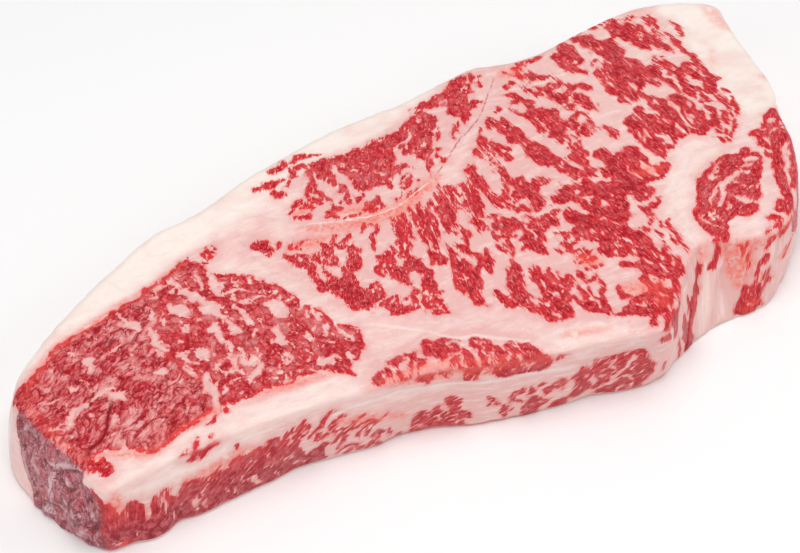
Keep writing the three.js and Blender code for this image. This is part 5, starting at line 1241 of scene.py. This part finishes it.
beefLook = {
    "tones": {
        "fatPink": "#f4cbc6",  # between the muscles
        "fatCream": "#fbede4",  # outer fat
        "fatBlush": "#e8837f",  # beside lean
        "fatInner": "#e9b2ae",  # blotches, streaks and grains
        "tissue": "#f2968a",  # orange connective tissue
        "leanDeep": "#9a0b1e",
        "leanMiddle": "#c31c2c",
        "leanBright": "#de353b",  # fibres, and the rim of the lean
        "leanPale": "#eb8f8e",  # the finest fibres
        # painted sheen of lean, between creases and in patches inside it
        "leanSheen": "#e58a89",  # between creases
        # painted shade in the creases of lean
        "creaseShade": "#92091b",
        "leanFlush": "#ef5248",  # fresh blood
        # painted shade: the wall's lean, darker and duller
        "shadedLeanDark": "#7e1527",  # lean of the wall
        "shadedLeanPale": "#c4656d",
        "agedDark": "#84404b",  # the dried end
        "agedMiddle": "#c07c82",
        "agedPale": "#e2bcc0",
        "agedRed": "#b83f49",
        "agedCrease": "#6d1d29",
        "fasciaPale": "#fdeee8",
        "fasciaRed": "#c4494e",
        # painted highlight of wet edges
        "paintedHighlight": "#fbeeea",
    },
    # noises: the coordinates each follows, their stretch, then scale, detail, roughness and distortion.
    # "object" is in mm, so its scale is cells per mm. "grain" is in flecks, and "flow" in streaks of fat.
    "noises": {
        "strands": ("grain", (3.1, 3.1, 1.0), 1.0, 2.0, 0.55, 0.6),
        "pores": ("object", even, 0.9, 2.0, 0.55, 0.0),
        "winding": ("grain", (1.0, 0.8, 1.0), 1.0, 2.0, 0.5, 0.3),
        "regions": ("object", even, 0.2, 2.0, 0.55, 0.0),
        "dashes": ("grain", (2.6, 1.9, 1.0), 1.0, 1.0, 0.5, 0.4),
        "flush": ("object", even, 0.4, 3.0, 0.65, 0.0),
        "blotches": ("object", even, 0.09, 2.0, 0.55, 0.0),
        "streaks": ("flow", even, 1.0, 4.0, 0.65, 0.3),
        "fatGrains": ("object", even, 1.6, 2.0, 0.55, 0.0),
        "specks": ("object", even, 0.8, 3.0, 0.6, 0.0),
        "mottle": ("object", even, 0.5, 4.0, 0.65, 0.0),
        "fibre": ("grain", (4.6, 4.6, 1.0), 1.0, 2.5, 0.6, 0.6),
        "flecks": ("grain", (2.6, 3.0, 1.0), 1.0, 1.5, 0.5, 0.5),
        "inner": ("object", even, 0.5, 4.0, 0.7, 0.0),
        # where the painted sheen of lean is full
        "sheenRegions": ("object", even, 0.22, 3.0, 0.6, 0.4),
        "heavy": ("object", even, 0.3, 2.0, 0.55, 0.0),
        "crumple0": ("grain", even, 1.7, 2.5, 0.55, 0.4),
        "crumple1": ("grain", even, 0.85, 2.5, 0.55, 0.7),
        "crumple2": ("grain", even, 0.42, 2.5, 0.55, 0.6),
        "shadedLean": ("object", even, 0.45, 4.0, 0.65, 0.0),
        "bloodied": ("object", even, 0.7, 3.0, 0.6, 0.0),
        "agedStreaks": ("object", (1.0, 1.0, 0.5), 0.6, 5.0, 0.75, 0.0),
        "agedPatches": ("object", even, 0.16, 3.0, 0.6, 0.0),
        "agedGrains": ("object", even, 1.1, 3.0, 0.6, 0.0),
        "crevices": ("object", (1.0, 1.0, 0.6), 0.3, 3.0, 0.6, 0.8),
        "sway": ("object", even, 0.35, 2.0, 0.55, 0.0),
        "broken": ("object", even, 0.5, 3.0, 0.55, 0.0),
    },
    # crumples: where the painted sheen beside each is full, and width and strength of its crease of painted
    # shade
    "creases": [(0.12, 0.026, 0.75), (0.13, 0.03, 0.95), (0.17, 0.02, 1.0)],
    "ragged": 1.45,  # how far noise along the grain moves the edge of the lean, in mm
    "grainy": 0.35,  # and noise without direction
    "channels": 1.2,  # how far channels of fat cut into the lean, in mm
    "dashes": 1.25,  # and its finest flecks
    "agedFray": (1.4, 0.7, 1.2),  # how far mottle moves the edges of the dried end, its veins and its creases
    "roughness": (0.42, -0.08),  # of fat, and what lean adds
    "specular": 0.3,
    "ior": 1.36,
    "bump": 0.6,
    "scatter": (0.0007, 0.0003, 0.0002),  # how far red, green and blue light travel inside, in metres
    "scatterShare": 0.05,
}


# Raw beef: wet red lean between pale fat. The level field says how far inside lean a point is, and noise
# stretched along each muscle's grain frays its edge and cuts fine dashes of fat into it.
def beefMaterial():
    look = beefLook
    material, node = newMaterial("rawBeef")
    tone = {name: toLinear(colour) for name, colour in look["tones"].items()}
    field = {}
    for output, names in (("Fac", ("level", "marbling", "wrinkled", "creamAndHighlight", "flush", "dull", "paintedHighlight")),
                          ("Vector", ("grain", "flow", "aged", "fascia", "crease"))):
        for name in names:
            field[name] = node("Attribute", output=output, attribute_name=name)
    inMm = node("VectorMath", (node("TexCoord", output="Object"), (1 / mm,) * 3), operation="MULTIPLY")
    pattern = {}
    for name, (follows, stretch, scale, detail, roughness, distortion) in look["noises"].items():
        place = inMm if follows == "object" else field[follows]
        pattern[name] = node("TexNoise", {
            "Vector": node("VectorMath", (place, stretch), operation="MULTIPLY"),
            "Scale": scale, "Detail": detail, "Roughness": roughness, "Distortion": distortion,
        })
    mottle, fibre, wrinkled = pattern["mottle"], pattern["fibre"], field["wrinkled"]
    eased = {"interpolation_type": "SMOOTHSTEP"}

    # How far some noises are from their middle value, which each crosses along thin winding lines.
    crossing = {}
    for name in ("winding", "crumple0", "crumple1", "crumple2", "crevices"):
        offset = node("Math", (pattern[name], 0.5), operation="SUBTRACT")
        crossing[name] = node("Math", (offset,), operation="ABSOLUTE")

    # Lays tones over a colour. A row is the tone, a value and its low and high, the share that the tone has
    # at each of these, and a mask that the share is multiplied by, or None.
    def layered(colour, rows):
        for name, value, low, high, start, end, mask in rows:
            share = node("MapRange", (value, low, high, start, end), **eased)
            if mask:
                share = node("Math", (share, mask), operation="MULTIPLY")
            colour = node("Mix", {0: share, 6: colour, 7: tone[name]}, 2, data_type="RGBA")
        return colour

    # How far inside lean, in mm. Noise stretched along the grain frays the edge into strands, thin contour
    # lines of noise are channels of fat that round off blobs of lean, and dashes are its finest flecks.
    level = field["level"]
    channel = node("MapRange", (crossing["winding"], 0.0, 0.042, 1.0, 0.0), **eased)
    someRegions = node("MapRange", (pattern["regions"], 0.4, 0.6), **eased)
    channel = node("Math", (channel, someRegions), operation="MULTIPLY")
    dash = node("MapRange", (pattern["dashes"], 0.56, 0.66), **eased)
    channel, dash = (
        node("Math", (cut, field["marbling"]), operation="MULTIPLY") for cut in (channel, dash)
    )
    for value, reach, middle in ((pattern["strands"], look["ragged"], 0.15 - 0.5 * look["ragged"]),
                                 (pattern["pores"], look["grainy"], -0.5 * look["grainy"]),
                                 (channel, -look["channels"], 0.0), (dash, -look["dashes"], 0.0)):
        moved = node("Math", (value, reach, middle), operation="MULTIPLY_ADD")
        level = node("Math", (level, moved), operation="ADD")
    leanShare = node("MapRange", (level, -0.18, 0.15), **eased)

    # fat: pink or cream, redder near lean, with streaks along its flow and orange tissue in places; the cream
    # share also carries a painted highlight on the wall
    pinkShare = node("Math", (field["creamAndHighlight"], -0.75, 1.0), operation="MULTIPLY_ADD")
    flush = node("MapRange", (pattern["flush"], 0.25, 0.55), **eased)
    bloodShare = node("MapRange", (pinkShare, 0.3, 0.9), **eased)
    flush, bloodShare = (
        node("Math", (share, field["flush"]), operation="MULTIPLY") for share in (flush, bloodShare)
    )
    fat = node("Mix", {0: field["creamAndHighlight"], 6: tone["fatPink"], 7: tone["fatCream"]}, 2, data_type="RGBA")
    fat = layered(fat, [
        ("fatInner", level, -3.5, -0.8, 0.0, 0.7, pinkShare),
        ("fatBlush", level, -0.8, 0.0, 0.0, 0.9, None),
        ("fatInner", pattern["blotches"], 0.45, 0.75, 0.0, 0.3, None),
        ("fatInner", pattern["streaks"], 0.48, 0.68, 0.0, 0.5, pinkShare),
        ("fatCream", pattern["streaks"], 0.5, 0.34, 0.0, 0.35, None),
        ("fatInner", pattern["fatGrains"], 0.5, 0.75, 0.0, 0.3, pinkShare),
        ("tissue", pinkShare, 0.25, 0.7, 0.5, 1.0, flush),
        ("leanFlush", pattern["specks"], 0.5, 0.62, 0.0, 0.45, bloodShare),
    ])

    # lean: deep and middle red, bright strands along the grain, pale flecks, a patchy painted sheen inside
    # and a bright rim
    lean = layered(tone["leanDeep"], [
        ("leanMiddle", mottle, 0.38, 0.58, 0.0, 1.0, None),
        ("leanBright", fibre, 0.47, 0.58, 0.0, 0.8, None),
        ("leanPale", fibre, 0.57, 0.68, 0.0, 0.7, None),
        ("fatPink", pattern["flecks"], 0.62, 0.74, 0.0, 0.5, None),
        ("leanSheen", pattern["inner"], 0.5, 0.64, 0.0, 0.3, node("MapRange", (level, 0.5, 1.4), **eased)),
        ("leanDeep", level, 1.2, 3.2, 0.0, 0.45, None),
        ("leanBright", level, 0.05, 0.9, 0.8, 0.0, None),
    ])

    # Crumples: noise is folded at its middle, where a deep red crease of painted shade runs. The lean between
    # two creases gets a paler painted sheen, as its thin fibres would catch the light.
    sheenShare = node("MapRange", (pattern["sheenRegions"], 0.38, 0.58, 0.25, 1.0), **eased)
    heavy = node("MapRange", (pattern["heavy"], 0.34, 0.54, 0.3, 1.0), **eased)
    crumples = [(crossing[f"crumple{n}"], *crease) for n, crease in enumerate(look["creases"])]
    wrinkledLean = layered(tone["leanDeep"], [
        ("leanMiddle", mottle, 0.36, 0.54, 0.0, 1.0, None),
        ("leanBright", fibre, 0.44, 0.56, 0.0, 0.75, None),
        *[("leanSheen", crumple, 0.015, full, 0.0, 0.75, sheenShare) for crumple, full, _, _ in crumples],
        ("leanPale", fibre, 0.53, 0.66, 0.0, 0.4, None),
    ])
    # beside each crease lies a softer band of painted shade, half as strong
    for crumple, _, width, strength in crumples:
        wrinkledLean = layered(wrinkledLean, [
            ("leanDeep", crumple, 0.0, 1.8 * width, 0.5 * strength, 0.0, heavy),
            ("creaseShade", crumple, 0.002, width, 0.75 * strength, 0.0, heavy),
        ])
    # a paler band of painted sheen a little way from each middle crease
    wrinkledLean = layered(wrinkledLean, [("fatPink", crossing["crumple1"], 0.09, 0.17, 0.0, 0.4, sheenShare)])
    # painted shade of the wall's lean, laid in by its share
    shadedLean = layered(tone["shadedLeanDark"], [("shadedLeanPale", pattern["shadedLean"], 0.44, 0.6, 0.0, 1.0, None)])
    for share, other in ((wrinkled, wrinkledLean), (field["dull"], shadedLean)):
        lean = node("Mix", {0: share, 6: lean, 7: other}, 2, data_type="RGBA")
    lean = layered(lean, [("leanFlush", pattern["bloodied"], 0.35, 0.6, 0.2, 0.8, field["flush"])])
    colour = node("Mix", {0: leanShare, 6: fat, 7: lean}, 2, data_type="RGBA")

    # the dried end: dull purple, with pale veins and dark creases
    frayed = []
    for value, reach in zip(node("SeparateXYZ", (field["aged"],), None), look["agedFray"]):
        value = node("Math", (value, 0.5 * reach), operation="SUBTRACT")
        frayed.append(node("Math", (mottle, reach, value), operation="MULTIPLY_ADD"))
    aged, veins, creases = frayed
    otherRegions = node("MapRange", (pattern["regions"], 0.38, 0.56), **eased)
    agedTone = layered(tone["agedDark"], [
        ("agedMiddle", pattern["agedStreaks"], 0.42, 0.57, 0.0, 1.0, None),
        ("agedRed", pattern["agedPatches"], 0.5, 0.62, 0.0, 0.5, None),
        ("agedPale", pattern["agedGrains"], 0.52, 0.66, 0.0, 0.6, None),
        ("agedPale", veins, -0.4, 0.7, 0.0, 0.85, None),
        ("agedCrease", creases, -0.4, 0.6, 0.0, 0.8, None),
        ("agedCrease", crossing["crevices"], 0.003, 0.03, 0.85, 0.0, otherRegions),
    ])
    agedShare = node("MapRange", (aged, 0.3, 0.7, 0.0, 0.95), **eased)
    colour = node("Mix", {0: agedShare, 6: colour, 7: agedTone}, 2, data_type="RGBA")

    # the fascia between cap and eye, the deepest crease in painted shade and the painted highlights of wet
    # edges, as thin lines
    sway = node("Math", (pattern["sway"], 1.2, -0.6), operation="MULTIPLY_ADD")
    lines = {}
    for name in ("fascia", "crease"):
        offset, second, third = node("SeparateXYZ", (field[name],), None)
        offset = node("Math", (node("Math", (offset, sway), operation="ADD"),), operation="ABSOLUTE")
        lines[name] = (offset, second, third)
    offset, travelled, share = lines["fascia"]
    for value, *ends in ((offset, 0.05, 0.4, 0.8, 0.0), (pattern["broken"], 0.35, 0.6, 0.15, 1.0)):
        share = node("Math", (share, node("MapRange", (value, *ends), **eased)), operation="MULTIPLY")
    fasciaTone = layered(tone["fasciaPale"], [("fasciaRed", travelled, 38.0, 50.0, 0.0, 1.0, None)])
    colour = node("Mix", {0: share, 6: colour, 7: fasciaTone}, 2, data_type="RGBA")
    offset, share, _ = lines["crease"]
    # painted shade along the deepest crease
    colour = layered(colour, [("creaseShade", offset, 0.15, 0.9, 1.0, 0.0, share)])
    # painted highlight: wet edges made nearly white in the base colour
    paintedHighlight = node("Math", (field["paintedHighlight"], 0.6), operation="MULTIPLY")
    colour = node("Mix", {0: paintedHighlight, 6: colour, 7: tone["paintedHighlight"]}, 2, data_type="RGBA")

    # fine bump, in mm: strands, mottle, and wrinkled lean with its two coarser creases cut out of it
    fold = 1.0
    for crumple, _, width, strength in crumples[1:]:
        depth = node("MapRange", (crumple, 0.002, width, strength, 0.0), **eased)
        depth = node("Math", (depth, heavy), operation="MULTIPLY")
        fold = node("Math", (depth, -0.5, fold), operation="MULTIPLY_ADD")
    fold = node("Math", (fold, wrinkled), operation="MULTIPLY")
    height = node("Math", (pattern["strands"], 0.12), operation="MULTIPLY")
    height = node("Math", (mottle, 0.3, height), operation="MULTIPLY_ADD")
    height = node("Math", (fold, 0.045, height), operation="MULTIPLY_ADD")
    bump = node("Bump", {"Height": height, "Strength": look["bump"], "Distance": mm})
    fatRoughness, leanAdds = look["roughness"]
    shader = node("BsdfPrincipled", {
        "Base Color": colour,
        "Roughness": node("Math", (leanShare, leanAdds, fatRoughness), operation="MULTIPLY_ADD"),
        "IOR": look["ior"], "Specular IOR Level": look["specular"], "Normal": bump,
        "Subsurface Weight": look["scatterShare"], "Subsurface Radius": look["scatter"],
        "Subsurface Scale": 1.0,
    })
    node("OutputMaterial", {"Surface": shader}, None)
    return material


tableLook = {"colour": "#fbfafa", "roughness": 0.7, "specular": 0.2}


# Matt white laminate: even and pale, with no gloss to draw the eye.
def tableMaterial():
    material, node = newMaterial("paleLaminate")
    shader = node("BsdfPrincipled", {
        "Base Color": toLinear(tableLook["colour"]), "Roughness": tableLook["roughness"],
        "Specular IOR Level": tableLook["specular"],
    })
    node("OutputMaterial", {"Surface": shader}, None)
    return material


studio = {
    "floorSize": 4.0,
    "azimuth": -27.0,  # degrees round from the front, towards the narrow end
    "elevation": 46.0,
    "lens": 110.0,
    "distance": 0.6967,
    "target": (-0.006, 0.0015, 0.013),
    "nearest": 0.01,  # what is nearer to the camera than this isn't shown
    # name, watts, size in metres, place
    "lights": [
        ("overhead", 6.0, 0.8, (-0.1, -0.1, 1.05)),
        ("right", 2.6, 0.6, (0.85, -0.45, 0.6)),
        ("left", 1.7, 0.8, (-0.85, -0.35, 0.5)),
    ],
    "world": 0.43,
}


def lookAt(piece, place, target):
    piece.location = place
    direction = np.subtract(target, place)
    flat = math.hypot(direction[0], direction[1])
    piece.rotation_euler = (math.atan2(flat, -direction[2]), 0, math.atan2(-direction[0], direction[1]))


def makeStudio():
    bpy.ops.mesh.primitive_plane_add(size=studio["floorSize"])
    floor = bpy.context.object
    floor.name = "table"
    floor.data.materials.append(tableMaterial())
    for name, watts, size, place in studio["lights"]:
        light = bpy.data.lights.new(name, "AREA")
        light.energy = watts
        light.size = size
        lamp = bpy.data.objects.new(name, light)
        bpy.context.scene.collection.objects.link(lamp)
        lookAt(lamp, place, (0, 0, 0))
    world = bpy.data.worlds.new("paleRoom")
    world.use_nodes = True
    background = world.node_tree.nodes["Background"]
    background.inputs["Color"].default_value = (1, 1, 1, 1)
    background.inputs["Strength"].default_value = studio["world"]
    bpy.context.scene.world = world
    bpy.context.scene.view_settings.view_transform = "Standard"


def makeCamera():
    turn, rise = math.radians(studio["azimuth"]), math.radians(studio["elevation"])
    back = (math.sin(turn) * math.cos(rise), -math.cos(turn) * math.cos(rise), math.sin(rise))
    place = [t + b * studio["distance"] for t, b in zip(studio["target"], back)]
    camera = bpy.data.objects.new("camera", bpy.data.cameras.new("camera"))
    camera.data.lens = studio["lens"]
    camera.data.clip_start = studio["nearest"]
    bpy.context.scene.collection.objects.link(camera)
    lookAt(camera, place, studio["target"])
    bpy.context.scene.camera = camera


makeCamera()
makeStudio()
print("camera, table and lights are in place")
steak = makeSteak()
steak.data.materials.append(beefMaterial())
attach(steak, "root")
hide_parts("steak")
print("steak is in place")
